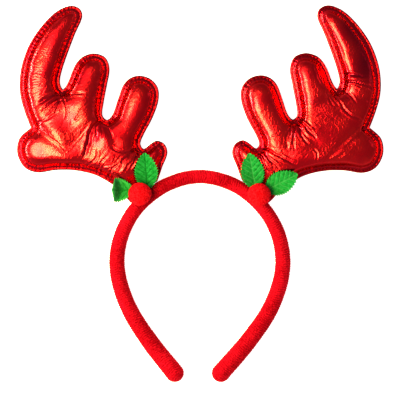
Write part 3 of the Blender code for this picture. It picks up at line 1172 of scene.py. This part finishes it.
    def rim(self, away: np.ndarray, along: np.ndarray) -> np.ndarray:
        """The sewn edge: a turned roll, the groove of the seam, and the puckered band inside it.

        Args:
            away: how far each point lies from the edge.
            along: how far along the edge it lies.

        Returns:
            The height of each point above the lining.
        """
        share = np.clip(1.0 - away / self.roll_width, 0.0, 1.0)
        roll = self.roll_height * np.sqrt(1.0 - share**2)
        levelling = smooth_step(away, self.band_from, self.band_to)
        band = roll + (self.band_height - self.roll_height) * levelling
        groove = self.seam_depth * bell(away - self.seam_in, self.seam_width)
        phase = along / self.pucker_pitch
        wobble = np.array([noise.noise((p * 0.45, 3.0, 7.0)) for p in phase])
        drawn = np.cos(2 * math.pi * (phase + 0.9 * wobble)) * (0.6 + 0.8 * wobble)
        reach = bell(away - 3.6, 1.7) + 0.35 * bell(away - 0.9, 0.6)
        return band - groove + self.pucker_depth * drawn * reach

    def painted_shade_share(self, away: np.ndarray) -> np.ndarray:
        """How much painted shade darkens the cloth's colour in the border, in the seam and in the valley
        beside the padding.

        Args:
            away: how far each point lies from the edge.

        Returns:
            A share from 0 to 1 at each point.
        """
        # Painted shade in the border band, the seam groove and the valley at the foot of the padding.
        border = 1.0 - smooth_step(away, self.padding_from, self.padding_from + 2.0)
        seam = bell(away - self.seam_in, self.seam_width)
        valley = bell(away - self.padding_from - 1.2, 0.7)
        return self.border_shade * border + self.seam_shade * seam + self.valley_shade * valley

    def creases(self, flat: np.ndarray) -> np.ndarray:
        """How far folds, gathers, swells and crumples lift the cloth off its smooth padding.

        Args:
            flat: the flat points of the cloth.

        Returns:
            The lift at each point.
        """
        warped = flat + 0.7 * np.column_stack([perlin(flat, 6.0, 1.0), perlin(flat, 6.0, 9.0)])
        lift = np.zeros(len(flat))
        for fold in self.folds:
            lift += fold.lift(warped)
        for gather in self.gathers:
            lift += gather.lift(flat, warped)
        for swell in self.swells:
            lift += swell.lift(flat)
        seed = 40.0 + self.side.value
        lift += self.billow[0] * perlin(flat, self.billow[1], seed)
        turn = math.radians(self.crumple_deg) * -self.side.value
        onward = warped @ np.array((math.cos(turn), math.sin(turn))) / self.crumple_stretch
        across = warped @ np.array((-math.sin(turn), math.cos(turn)))
        drawn_out = np.column_stack([onward, across])
        for index, (depth, pitch) in enumerate(self.crumple, start=1):
            waves = perlin(drawn_out, pitch, seed + 3.0 * index)
            creased = np.exp(-np.abs(waves) / self.crumple_sharpness)
            patches = smooth_step(perlin(flat, 2.2 * pitch, seed + 20.0 * index), -0.1, 0.4)
            lift -= self.crumpling * depth * creased * patches
        return lift

    def stitches(self, outline: np.ndarray, skin: np.ndarray, flat: np.ndarray) -> None:
        """Makes the thread of the seam: short stitches that lie in its groove.

        Args:
            outline: the turned edge.
            skin: the points of the shaped cloth.
            flat: the same points laid flat.
        """
        rail = inset(outline, self.seam_in)
        rail = rail[self.clear_of_edge(rail, outline, self.seam_in)]
        rail = respaced(np.vstack([rail, rail[:1]]), 0.25)
        height = skin[nearest_points(rail, flat), 2] + self.facing.value * 0.35 * self.thread_radius
        rail = np.column_stack([rail, height])
        reached = line_lengths(rail)
        whole = self.stitch + self.stitch_gap
        points, faces = [], []
        for first in np.arange(0.0, reached[-1] - whole, whole):
            start, end = read_along(rail, reached, np.array((first, first + self.stitch)))
            made, sides = self.one_stitch(start, end)
            faces += [[len(points) + i for i in side] for side in sides]
            points.extend(made)
        Piece(f"{self.node}_stitches", np.array(points), faces, self.thread, Slot.ANTLER).place()

    def one_stitch(self, start: np.ndarray, end: np.ndarray) -> tuple[np.ndarray, list[list[int]]]:
        """Makes one stitch, whose ends dip into the cloth.

        Args:
            start: where it starts.
            end: where it ends.

        Returns:
            Its points and faces.
        """
        profile = ((0.0, 0.35), (0.12, 0.9), (0.5, 1.0), (0.88, 0.9), (1.0, 0.35))
        sides, dip = 6, 0.3
        turns = np.linspace(0.0, 2 * math.pi, sides, endpoint=False)
        ahead = (end - start) / np.linalg.norm(end - start)
        aside = np.cross(ahead, (0.0, 0.0, 1.0))
        over = np.cross(aside, ahead)
        ring = np.cos(turns)[:, None] * aside + np.sin(turns)[:, None] * over
        rows = []
        for share, width in profile:
            sunk = -self.facing.value * dip * (2 * share - 1) ** 2 * over
            rows.append(start + share * (end - start) + sunk + self.thread_radius * width * ring)
        faces = grid_faces(len(profile), sides, closed=True).tolist()
        faces.append(list(reversed(range(sides))))
        faces.append([(len(profile) - 1) * sides + i for i in range(sides)])
        return np.vstack(rows), faces


def mesh_points(solid: bpy.types.Object) -> np.ndarray:
    """Reads the points of an object's mesh.

    Args:
        solid: the object.

    Returns:
        One row for each point, in millimetres.
    """
    found = np.empty(len(solid.data.vertices) * 3)
    solid.data.vertices.foreach_get("co", found)
    return found.reshape(-1, 3) / MM


def nearest_points(flat: np.ndarray, known: np.ndarray) -> np.ndarray:
    """Finds the nearest of some known flat points.

    Args:
        flat: the flat points to search from.
        known: the flat points to search among.

    Returns:
        For each point, the number of the known point that lies nearest.
    """
    tree = KDTree(len(known))
    for index, (x, y) in enumerate(known):
        tree.insert((x, y, 0.0), index)
    tree.balance()
    return np.array([tree.find((x, y, 0.0))[1] for x, y in flat])


def signed_area(loop: np.ndarray) -> float:
    """The area inside a flat loop, positive if it runs anticlockwise."""
    ahead = np.roll(loop, -1, axis=0)
    return float((loop[:, 0] * ahead[:, 1] - ahead[:, 0] * loop[:, 1]).sum() / 2)


def closed_ring(count: int) -> list[tuple[int, int]]:
    """The edges of a closed ring of points."""
    return [(i, (i + 1) % count) for i in range(count)]


def inset(outline: np.ndarray, distance: float) -> np.ndarray:
    """Moves an anticlockwise outline inwards.

    Args:
        outline: the flat points round it.
        distance: how far they move.

    Returns:
        The moved points, in the same order.
    """
    ahead = np.roll(outline, -1, axis=0) - outline
    ahead /= np.linalg.norm(ahead, axis=1)[:, None]
    inward = np.stack([-ahead[:, 1], ahead[:, 0]], axis=1)
    mean = inward + np.roll(inward, 1, axis=0)
    mean /= np.linalg.norm(mean, axis=1)[:, None]
    stretch = 1.0 / np.maximum(0.6, (mean * inward).sum(axis=1))
    return outline + mean * (distance * stretch)[:, None]


def inside(points: np.ndarray, loop: np.ndarray) -> np.ndarray:
    """Finds which flat points lie inside a closed loop.

    Args:
        points: the flat points.
        loop: the points of the loop.

    Returns:
        True or false for each point.
    """
    crossings = np.zeros(len(points), int)
    for (ax, ay), (bx, by) in zip(loop, np.roll(loop, -1, axis=0)):
        spans = (ay > points[:, 1]) != (by > points[:, 1])
        crosses = (points[:, 1] - ay) * (bx - ax) > (points[:, 0] - ax) * (by - ay)
        crossings += spans & (crosses == (by > ay))
    return crossings % 2 == 1


def blurred(cells: np.ndarray, spread: float) -> np.ndarray:
    """Blurs a raster with a bell curve.

    Args:
        cells: the raster.
        spread: the curve's spread, in cells.

    Returns:
        The blurred raster, never under zero.
    """
    rows, columns = (np.fft.fftfreq(size) for size in cells.shape)
    curve = np.exp(-2.0 * (math.pi * spread) ** 2 * (rows[:, None] ** 2 + columns[None] ** 2))
    return np.maximum(np.fft.ifft2(np.fft.fft2(cells) * curve).real, 0.0)


def sampled(cells: np.ndarray, at: np.ndarray) -> np.ndarray:
    """Reads a raster between its cells.

    Args:
        cells: the raster.
        at: the places to read at, in cells.

    Returns:
        The value at each place.
    """
    corner = np.clip(np.floor(at).astype(int), 0, np.array(cells.shape) - 2)
    x, y = (at - corner).T
    i, j = corner.T
    near = cells[i, j] * (1 - x) + cells[i + 1, j] * x
    far = cells[i, j + 1] * (1 - x) + cells[i + 1, j + 1] * x
    return near * (1 - y) + far * y


@dataclass
class Hoop:
    """The padded hoop, wrapped in plush whose ribs run across the tube. Lengths are in millimetres."""

    finish: bpy.types.Material
    node: str = "headband_hoop"
    line: Line = (
        (-19.6, -137.8),
        (-39.3, -112.8),
        (-54.7, -88.2),
        (-63.0, -63.5),
        (-63.6, -44.5),
        (-57.9, -25.3),
        (-46.9, -8.6),
        (-25.6, 7.2),
        (0.0, 13.5),
        (26.3, 7.0),
        (47.0, -9.0),
        (58.0, -25.6),
        (63.4, -44.5),
        (62.8, -63.5),
        (54.2, -88.2),
        (37.7, -112.8),
        (16.2, -137.8),
    )
    crown_radius: float = 5.35
    tip_radius: float = 7.15
    swell: float = 1.5
    ring_pitch: float = 0.26
    sides: int = 44
    rib_pitch: float = 1.75
    rib_depth: float = 0.42
    rib_slant: float = 1.1
    rib_wander: float = 0.3
    least_rib: float = 0.35
    nap: float = 0.14
    lumps: float = 0.08
    cap_deg: float = 88.0
    fill: float = 0.9

    def build(self) -> None:
        """Makes the hoop's plush."""
        line = respaced(smooth_run(self.line, 1.0), self.ring_pitch)
        reached = line_lengths(line)
        share = np.abs(2 * reached / reached[-1] - 1)
        radius = self.crown_radius + (self.tip_radius - self.crown_radius) * share**self.swell
        rest = radius.copy()
        for first, inner in ((0, 1), (-1, -2)):
            outward = line[first] - line[inner]
            outward /= np.linalg.norm(outward)
            steps = round(self.tip_radius * math.pi / 2 / self.ring_pitch)
            angle = np.linspace(0.0, math.radians(self.cap_deg), steps + 1)[1:]
            cap = line[first] + np.sin(angle)[:, None] * outward * self.tip_radius
            narrowed = self.tip_radius * np.cos(angle)
            level = np.full(steps, self.tip_radius)
            if first == 0:
                line = np.vstack([cap[::-1], line])
                radius = np.concatenate([narrowed[::-1], radius])
                rest = np.concatenate([level, rest])
            else:
                line = np.vstack([line, cap])
                radius = np.concatenate([radius, narrowed])
                rest = np.concatenate([rest, level])
        self.wrap(line, radius, rest)

    def wrap(self, line: np.ndarray, radius: np.ndarray, rest: np.ndarray) -> None:
        """Makes the ribbed tube.

        Args:
            line: the flat centreline.
            radius: the tube's radius at each of its points.
            rest: the height of the centreline at each of its points.
        """
        ahead = np.gradient(line, axis=0)
        ahead /= np.linalg.norm(ahead, axis=1)[:, None]
        turn = np.linspace(0.0, 2 * math.pi, self.sides, endpoint=False)
        across = np.column_stack([-ahead[:, 1], ahead[:, 0], np.zeros(len(line))])
        sideways, upright = np.cos(turn)[None, :, None], np.sin(turn)[None, :, None]
        outward = sideways * across[:, None] + upright * np.array((0.0, 0.0, 1.0))
        centre = np.column_stack([line, rest])[:, None]
        smooth = (centre + radius[:, None, None] * outward).reshape(-1, 3)
        along = np.repeat(line_lengths(line), self.sides)
        wobble = perlin(smooth, 4.0, 2.0)
        broken = smooth_step(perlin(smooth, 2.0, 5.0), -0.4, 0.2)
        broken = self.least_rib + (1.0 - self.least_rib) * broken
        slant = self.rib_slant * np.abs(np.tile(np.cos(turn), len(line)))
        phase = (along + slant) / self.rib_pitch + self.rib_wander * wobble
        rib = 0.5 - 0.5 * np.cos(2 * math.pi * phase)
        groove = (1.0 - rib) ** 1.3 * broken
        tuft = perlin(smooth, 0.8, 11.0)
        lift = self.nap * tuft - self.rib_depth * groove + self.lumps * wobble
        points = smooth + lift[:, None] * outward.reshape(-1, 3)
        points[:, 2] = np.maximum(points[:, 2], 0.0)
        count = len(line)
        faces = grid_faces(count, self.sides, closed=True).tolist()
        faces.append(list(range(self.sides))[::-1])
        faces.append([(count - 1) * self.sides + i for i in range(self.sides)])
        shown = Piece(
            f"{self.node}_plush",
            points,
            faces,
            self.finish,
            Slot.HOOP,
            (self.node,),
            # Painted shade in the grooves between the ribs, a little less on raised tufts.
            {"groove": np.clip(0.65 * groove - 0.15 * tuft, 0.0, 1.0)},
        ).place()


@dataclass
class HollyLeaf:
    """One toothed leaf of felt-like cloth, bent along its length. Lengths are in millimetres.

    The bend gives how steeply the leaf rises, in degrees, at shares of its length. The keel is how far
    its edges curl up for each millimetre from the midrib.
    """

    node: str
    side: Side
    base: tuple[float, float, float]
    heading_deg: float
    bend: Line
    finish: bpy.types.Material
    held: Held
    rests_on: tuple[str, ...]
    length: float = 29.0
    width: float = 17.6
    thickness: float = 0.9
    edge_thinning: float = 0.55
    fullness: float = 0.72
    stem_share: float = 0.03
    teeth: int = 15
    tooth: float = 1.7
    tooth_hook: float = 1.3
    tooth_middle: float = 0.45
    keel: float = 0.16
    tip_keel: float = 0.16
    vein_pairs: int = 6
    vein_depth: float = 0.3
    vein_lean: float = 0.85
    vein_width: float = 0.22
    midrib_width: float = 0.42
    quilt: float = 0.16
    painted_edge_light_from: float = 0.86
    rows: int = 193
    columns: int = 49

    def build(self) -> None:
        """Makes the leaf."""
        share, across = np.meshgrid(
            np.linspace(0.0, 1.0, self.rows), np.linspace(-1.0, 1.0, self.columns), indexing="ij"
        )
        grown = self.stem_share + (1.0 - self.stem_share) * share
        half = self.width / 2 * np.sin(math.pi * np.clip(grown, 0.0, 1.0)) ** self.fullness
        saw = (share * self.teeth) % 1.0
        toothed = self.tooth * (saw**self.tooth_hook - self.tooth_middle) * smooth_step(half, 0.0, 4.0)
        aside = across * half + np.sign(across) * toothed * np.abs(across) ** 7
        relief, vein = self.veins(share, aside, half)
        points = self.set_in_place(self.bent(share, across, aside, half, relief))
        # A painted highlight along the leaf's edges and towards its tip.
        edge = smooth_step(np.maximum(np.abs(across), share**2), self.painted_edge_light_from, 1.0).ravel()
        shown = Piece(
            f"{self.node}_cloth",
            points,
            self.shell(),
            self.finish,
            Slot.LEAF,
            (self.node,),
            {"vein": np.tile(vein.ravel(), 2), "edge": np.tile(edge, 2)},
        ).place()
        area = float(2 * half[:, 0].mean() * self.length) * MM**2
        self.width * MM

    def bent(
        self,
        share: np.ndarray,
        across: np.ndarray,
        aside: np.ndarray,
        half: np.ndarray,
        relief: np.ndarray,
    ) -> np.ndarray:
        """Bends the leaf along its midrib and gives it its thickness.

        Args:
            share: how far along the leaf each place of one side lies, from 0 to 1.
            across: how far across it, from -1 to 1.
            aside: how far from the midrib.
            half: the leaf's half width there.
            relief: how far the cloth rises there.

        Returns:
            The points of the upper side and then of the under side, with the midrib along +Y.
        """
        midrib = self.midrib()
        reached = line_lengths(midrib)
        slope = np.gradient(midrib, axis=0)
        slope /= np.linalg.norm(slope, axis=1)[:, None]
        forward, up = np.moveaxis(read_along(midrib, reached, share * self.length), -1, 0)
        onward, rise = np.moveaxis(read_along(slope, reached, share * self.length), -1, 0)
        keel = self.keel + (self.tip_keel - self.keel) * smooth_step(share, 0.36, 0.6)
        curl = keel * half * np.abs(across) ** 1.4
        rounding = np.sqrt(np.clip(1.0 - np.abs(across) ** 14, 0.0, 1.0))
        thinned = 1.0 - self.edge_thinning + self.edge_thinning * rounding
        sheets = []
        for face in (0.5, -0.5):
            offset = face * self.thickness * thinned + relief + curl
            sheets.append(np.stack([aside, forward - offset * rise, up + offset * onward], axis=-1))
        return np.concatenate([sheet.reshape(-1, 3) for sheet in sheets])

    def set_in_place(self, points: np.ndarray) -> np.ndarray:
        """Turns the leaf to its heading and moves it to its base.

        Args:
            points: its points, with the midrib along +Y.

        Returns:
            The points where they belong.
        """
        sign = self.side.value
        angle = -sign * math.radians(self.heading_deg)
        placed = points.copy()
        placed[:, 0] = points[:, 0] * math.cos(angle) - points[:, 1] * math.sin(angle)
        placed[:, 1] = points[:, 0] * math.sin(angle) + points[:, 1] * math.cos(angle)
        return placed + (sign * self.base[0], self.base[1], self.base[2])

    def midrib(self) -> np.ndarray:
        """Lays out the bent midrib.

        Returns:
            Evenly spaced points along it, as (forward, up).
        """
        steps = 32
        shares, pitches = zip(*self.bend)
        middles = (np.arange(steps) + 0.5) / steps
        pitch = np.radians(np.interp(middles, shares, pitches))
        moves = self.length / steps * np.column_stack([np.cos(pitch), np.sin(pitch)])
        return np.vstack([[0.0, 0.0], np.cumsum(moves, axis=0)])

    def veins(
        self, share: np.ndarray, aside: np.ndarray, half: np.ndarray
    ) -> tuple[np.ndarray, np.ndarray]:
        """Presses the veins into the leaf.

        Args:
            share: how far along the leaf each place lies, from 0 to 1.
            aside: how far from the midrib it lies.
            half: the leaf's half width there.

        Returns:
            The height of the cloth about the veins, and how strongly they show from 0 to 1.
        """
        spacing = 0.86 / self.vein_pairs
        phase = (share * self.length - np.abs(aside) * self.vein_lean) / (spacing * self.length)
        beside = 1.0 - np.abs((phase % 1.0) - 0.5) * 2.0
        side_vein = bell(beside, self.vein_width) * smooth_step(half - np.abs(aside), 0.3, 1.6)
        side_vein = side_vein * (0.35 + 0.65 * smooth_step(half, 1.0, 5.0))
        cushion = (1.0 - bell(beside, 0.5)) * (1.0 - bell(aside, 1.5))
        vein = np.clip(np.maximum(0.8 * side_vein, bell(aside, self.midrib_width)), 0.0, 1.0)
        return self.quilt * cushion - self.vein_depth * vein, vein

    def shell(self) -> list[list[int]]:
        """Joins the leaf's points into a closed shell.

        Returns:
            The faces of its two sides and of the edge between them.
        """
        count = self.rows * self.columns
        top = grid_faces(self.rows, self.columns)[:, ::-1]
        under = grid_faces(self.rows, self.columns) + count
        rim = [row * self.columns for row in range(self.rows)]
        rim += [(self.rows - 1) * self.columns + column for column in range(1, self.columns)]
        rim += [row * self.columns + self.columns - 1 for row in range(self.rows - 2, -1, -1)]
        rim += [column for column in range(self.columns - 2, 0, -1)]
        edge = [[a, b, b + count, a + count] for a, b in zip(rim, [*rim[1:], rim[0]])]
        return [*top.tolist(), *under.tolist(), *edge]


@dataclass
class Pompom:
    """One red berry: a clipped ball of fine pile, flat where it is glued. Lengths are in millimetres."""

    node: str
    finish: bpy.types.Material
    radius: float = 8.75
    rings: int = 150
    sides: int = 300
    nap: float = 0.42
    lumps: float = 0.25

    def build(self) -> None:
        """Makes the pompom where its solid lies."""
        low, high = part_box(self.node)
        centre = np.array([(low.x + high.x) / 2, (low.y + high.y) / 2, high.z]) / MM
        centre[2] -= self.radius
        tilt = np.linspace(0.0, math.pi, self.rings + 2)[1:-1, None]
        turn = np.linspace(0.0, 2 * math.pi, self.sides, endpoint=False)
        parts = (np.sin(tilt) * np.cos(turn), np.sin(tilt) * np.sin(turn), np.cos(tilt) + 0.0 * turn)
        outward = np.vstack([np.stack(parts, axis=-1).reshape(-1, 3), (0.0, 0.0, 1.0), (0.0, 0.0, -1.0)])
        ball = outward * self.radius
        seed = 13.0 if self.node.endswith("left") else 29.0
        tuft = perlin(ball, 1.05, seed) + 0.55 * perlin(ball, 0.5, seed + 4.0)
        lift = self.nap * tuft + self.lumps * perlin(ball, 4.0, seed + 9.0)
        points = centre + ball + lift[:, None] * outward
        points[:, 2] = np.maximum(points[:, 2], low.z / MM)
        top, foot = len(points) - 2, len(points) - 1
        last = (self.rings - 1) * self.sides
        faces = grid_faces(self.rings, self.sides, closed=True)[:, ::-1].tolist()
        faces += [[top, i, (i + 1) % self.sides] for i in range(self.sides)]
        faces += [[foot, last + (i + 1) % self.sides, last + i] for i in range(self.sides)]
        Piece(
            f"{self.node}_pile",
            points,
            faces,
            self.finish,
            Slot.BERRY,
            (self.node,),
            # Painted shade where the pile sinks between its tufts.
            {"groove": np.clip(0.15 - 1.1 * tuft, 0.0, 1.0)},
        ).place()


@dataclass(frozen=True)
class Softbox:
    """One soft light: where it hangs, its width and height, and how bright its face is."""

    name: str
    place: tuple[float, float, float]
    size: tuple[float, float]
    radiance: float
    aim: tuple[float, float, float]
    colour: tuple[float, float, float] = (1.0, 1.0, 1.0)

    def hang(self) -> None:
        """Adds the light, out of the camera's sight."""
        data = bpy.data.lights.new(self.name, "AREA")
        data.shape = "RECTANGLE"
        data.size, data.size_y = self.size
        data.energy = self.radiance * math.pi * self.size[0] * self.size[1]
        data.color = self.colour
        lamp = bpy.data.objects.new(self.name, data)
        bpy.context.scene.collection.objects.link(lamp)
        lamp.location = self.place
        toward = Vector(self.aim) - Vector(self.place)
        lamp.rotation_euler = toward.to_track_quat("-Z", "Y").to_euler()
        lamp.visible_camera = False


@dataclass(frozen=True)
class Sky:
    """The dim room about the object: a faint ceiling, pale low walls, and a lighter wall on the left."""

    dark: float = 0.23
    ceiling: float = 0.04
    walls: float = 0.2
    left: float = 0.12
    foot: float = 0.1

    def hang(self) -> None:
        """Lights the world."""
        world = bpy.data.worlds.new("studio_room")
        bpy.context.scene.world = world
        graph = Graph(world, "Background")
        across, onward, up = graph.heading()
        overhead = graph.smooth(up, 0.6, 0.97)
        low = 1.0 - graph.smooth(abs(up), 0.02, 0.4)
        leftward = graph.smooth(0.0 - across, 0.15, 0.75)
        footward = graph.smooth(0.0 - onward, 0.1, 0.8)
        light = self.dark + overhead * self.ceiling + low * self.walls
        light = light + leftward * self.left + footward * self.foot
        graph.dress(Color=(1.0, 1.0, 1.0, 1.0), Strength=light)


@dataclass
class Studio:
    """The pale floor, the soft light and the camera that looks straight down."""

    centre_y: float = -0.0046
    view_width: float = 0.308
    focus_height: float = 0.010
    lens: float = 292.0
    sensor: float = 36.0
    floor_size: float = 6.0
    sky: Sky = field(default_factory=Sky)
    near_clip: float = 0.05
    far_clip: float = 20.0
    softboxes: tuple[Softbox, ...] = (
        # (name, place, size, radiance, aim, colour)
        Softbox("key_box", (-0.37, -0.05, 0.9), (0.38, 0.46), 15.0, (-0.37, -0.05, 0.0), (1.0, 0.91, 0.36)),
        Softbox("left_strip", (-0.85, 0.1, 0.42), (0.9, 0.08), 34.0, (-0.1, 0.06, 0.0), (1.0, 0.92, 0.6)),
        Softbox("halo_box", (-0.34, 0.12, 0.96), (0.62, 0.9), 0.7, (-0.34, 0.12, 0.0), (1.0, 0.8, 0.6)),
        Softbox("right_box", (0.85, 0.3, 0.5), (0.25, 0.25), 0.4, (0.0, 0.06, 0.0)),
    )

    def build(self) -> None:
        """Sets up the floor, the lights, the sky and the camera."""
        self.lay_floor()
        for box in self.softboxes:
            box.hang()
        self.sky.hang()
        self.aim_camera()
        scene = bpy.context.scene
        scene.view_settings.view_transform = "Standard"
        scene.view_settings.look = "High Contrast"

    def lay_floor(self) -> None:
        """The floor, which isn't part of the headband."""
        half = self.floor_size / 2
        mesh = bpy.data.meshes.new("floor")
        corners = [(-half, -half, 0), (half, -half, 0), (half, half, 0), (-half, half, 0)]
        mesh.from_pydata(corners, [], [(0, 1, 2, 3)])
        mesh.materials.append(FloorFinish().material())
        floor = bpy.data.objects.new("floor", mesh)
        floor.visible_glossy = False
        bpy.context.scene.collection.objects.link(floor)

    def aim_camera(self) -> None:
        """The camera, straight above, with the photograph's framing."""
        data = bpy.data.cameras.new("camera")
        data.lens = self.lens
        data.sensor_width = self.sensor
        data.clip_start, data.clip_end = self.near_clip, self.far_clip
        camera = bpy.data.objects.new("camera", data)
        bpy.context.scene.collection.objects.link(camera)
        reach = self.view_width * self.lens / self.sensor
        camera.location = (0.0, self.centre_y, self.focus_height + reach)
        bpy.context.scene.camera = camera


@dataclass
class Headband:
    """The whole headband, piece by piece."""

    nodes: Mapping[str, bpy.types.Object]
    lying: Line = ((0.0, 20.0), (0.2, 27.0), (0.6, 10.0), (1.0, -6.0))
    propped: Line = ((0.0, 8.0), (0.2, 29.0), (0.6, 15.0), (1.0, -6.0))
    folded_up: Line = ((0.0, 10.0), (0.36, 16.0), (0.46, 76.0), (0.72, 82.0), (0.8, 74.0), (1.0, 62.0))

    def build(self) -> None:
        """Builds every piece in order."""
        plush = PileFinish(
            "ribbed_red_plush", (0.72, 0.016, 0.05, 1.0), (0.26, 0.0, 0.007, 1.0), 0.5, 0.75, 0.12, 30.0
        )
        Hoop(plush.material()).build()
        self.build_antlers()
        self.build_leaves()
        pile = PileFinish(
            "red_pompom_pile", (0.8, 0.028, 0.048, 1.0), (0.55, 0.0, 0.008, 1.0), 0.4, 0.7, 0.2, 2.5
        )
        fluff = pile.material()
        for side in Side:
            Pompom(f"berry_{side.label}", fluff).build()

    def build_antlers(self) -> None:
        """The four padded panels."""
        cloth, thread = MetallicCloth().material(), ThreadFinish().material()
        marks = {
            Side.LEFT: (LEFT_FOLDS, LEFT_SWELLS, LEFT_GATHERS),
            Side.RIGHT: (RIGHT_FOLDS, RIGHT_SWELLS, RIGHT_GATHERS),
        }
        for side, (folds, swells, gathers) in marks.items():
            front, back = (self.nodes[f"antler_{side.label}_{facing.label}"] for facing in Facing)
            panel = AntlerPanel(front, side, Facing.FRONT, folds, swells, gathers, cloth, thread)
            if side is Side.RIGHT:
                panel.crumpling = 0.5
            panel.build()
            AntlerPanel(back, side, Facing.BACK, folds[:8], (), (), cloth, thread, pitch=0.9).build()

    def build_leaves(self) -> None:
        """The four leaves."""
        left_cloth = LeafFinish("green_leaf_cloth_dark_veins", (0.004, 0.12, 0.02, 1.0)).material()
        right_cloth = LeafFinish("green_leaf_cloth_light_veins", (0.12, 0.42, 0.17, 1.0), 0.5).material()
        # The folded leaf's cloth is a lighter copy of the leaf colours: painted light on a leaf that stands
        # steep in little light.
        folded = LeafFinish(
            "green_leaf_cloth_folded",
            (0.01, 0.2, 0.03, 1.0),
            light=(0.08, 0.55, 0.16, 1.0),
            dark=(0.02, 0.3, 0.05, 1.0),
        ).material()
        rows = (
            # (node, side, base, heading, bend, finish, held)
            ("leaf_left_upper", Side.LEFT, (40.3, 4.0, 10.5), 4.7, self.lying, left_cloth, Held.LAID),
            ("leaf_left_outer", Side.LEFT, (50.8, 2.8, 12.2), 89.0, self.folded_up, folded, Held.FOLDED),
            ("leaf_right_upper", Side.RIGHT, (42.4, 4.0, 10.5), -9.5, self.lying, right_cloth, Held.LAID),
            ("leaf_right_outer", Side.RIGHT, (50.4, 2.6, 11.6), 62.5, self.propped, right_cloth, Held.LAID),
        )
        for node, side, base, heading, bend, cloth, held in rows:
            rests = (f"antler_{side.label}_front",)
            leaf = HollyLeaf(node, side, base, heading, bend, cloth, held, rests)
            if held is Held.FOLDED:
                # The folded leaf gets a wider painted highlight along its edges and tip.
                leaf.tip_keel, leaf.painted_edge_light_from = -0.2, 0.6
            leaf.build()


def main() -> None:
    """Builds the studio and the headband."""
    logging.basicConfig(level=logging.INFO, format="%(name)s %(message)s")
    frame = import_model()
    Studio().build()
    Headband(frame["nodes"]).build()


if __name__ == "__main__":
    main()
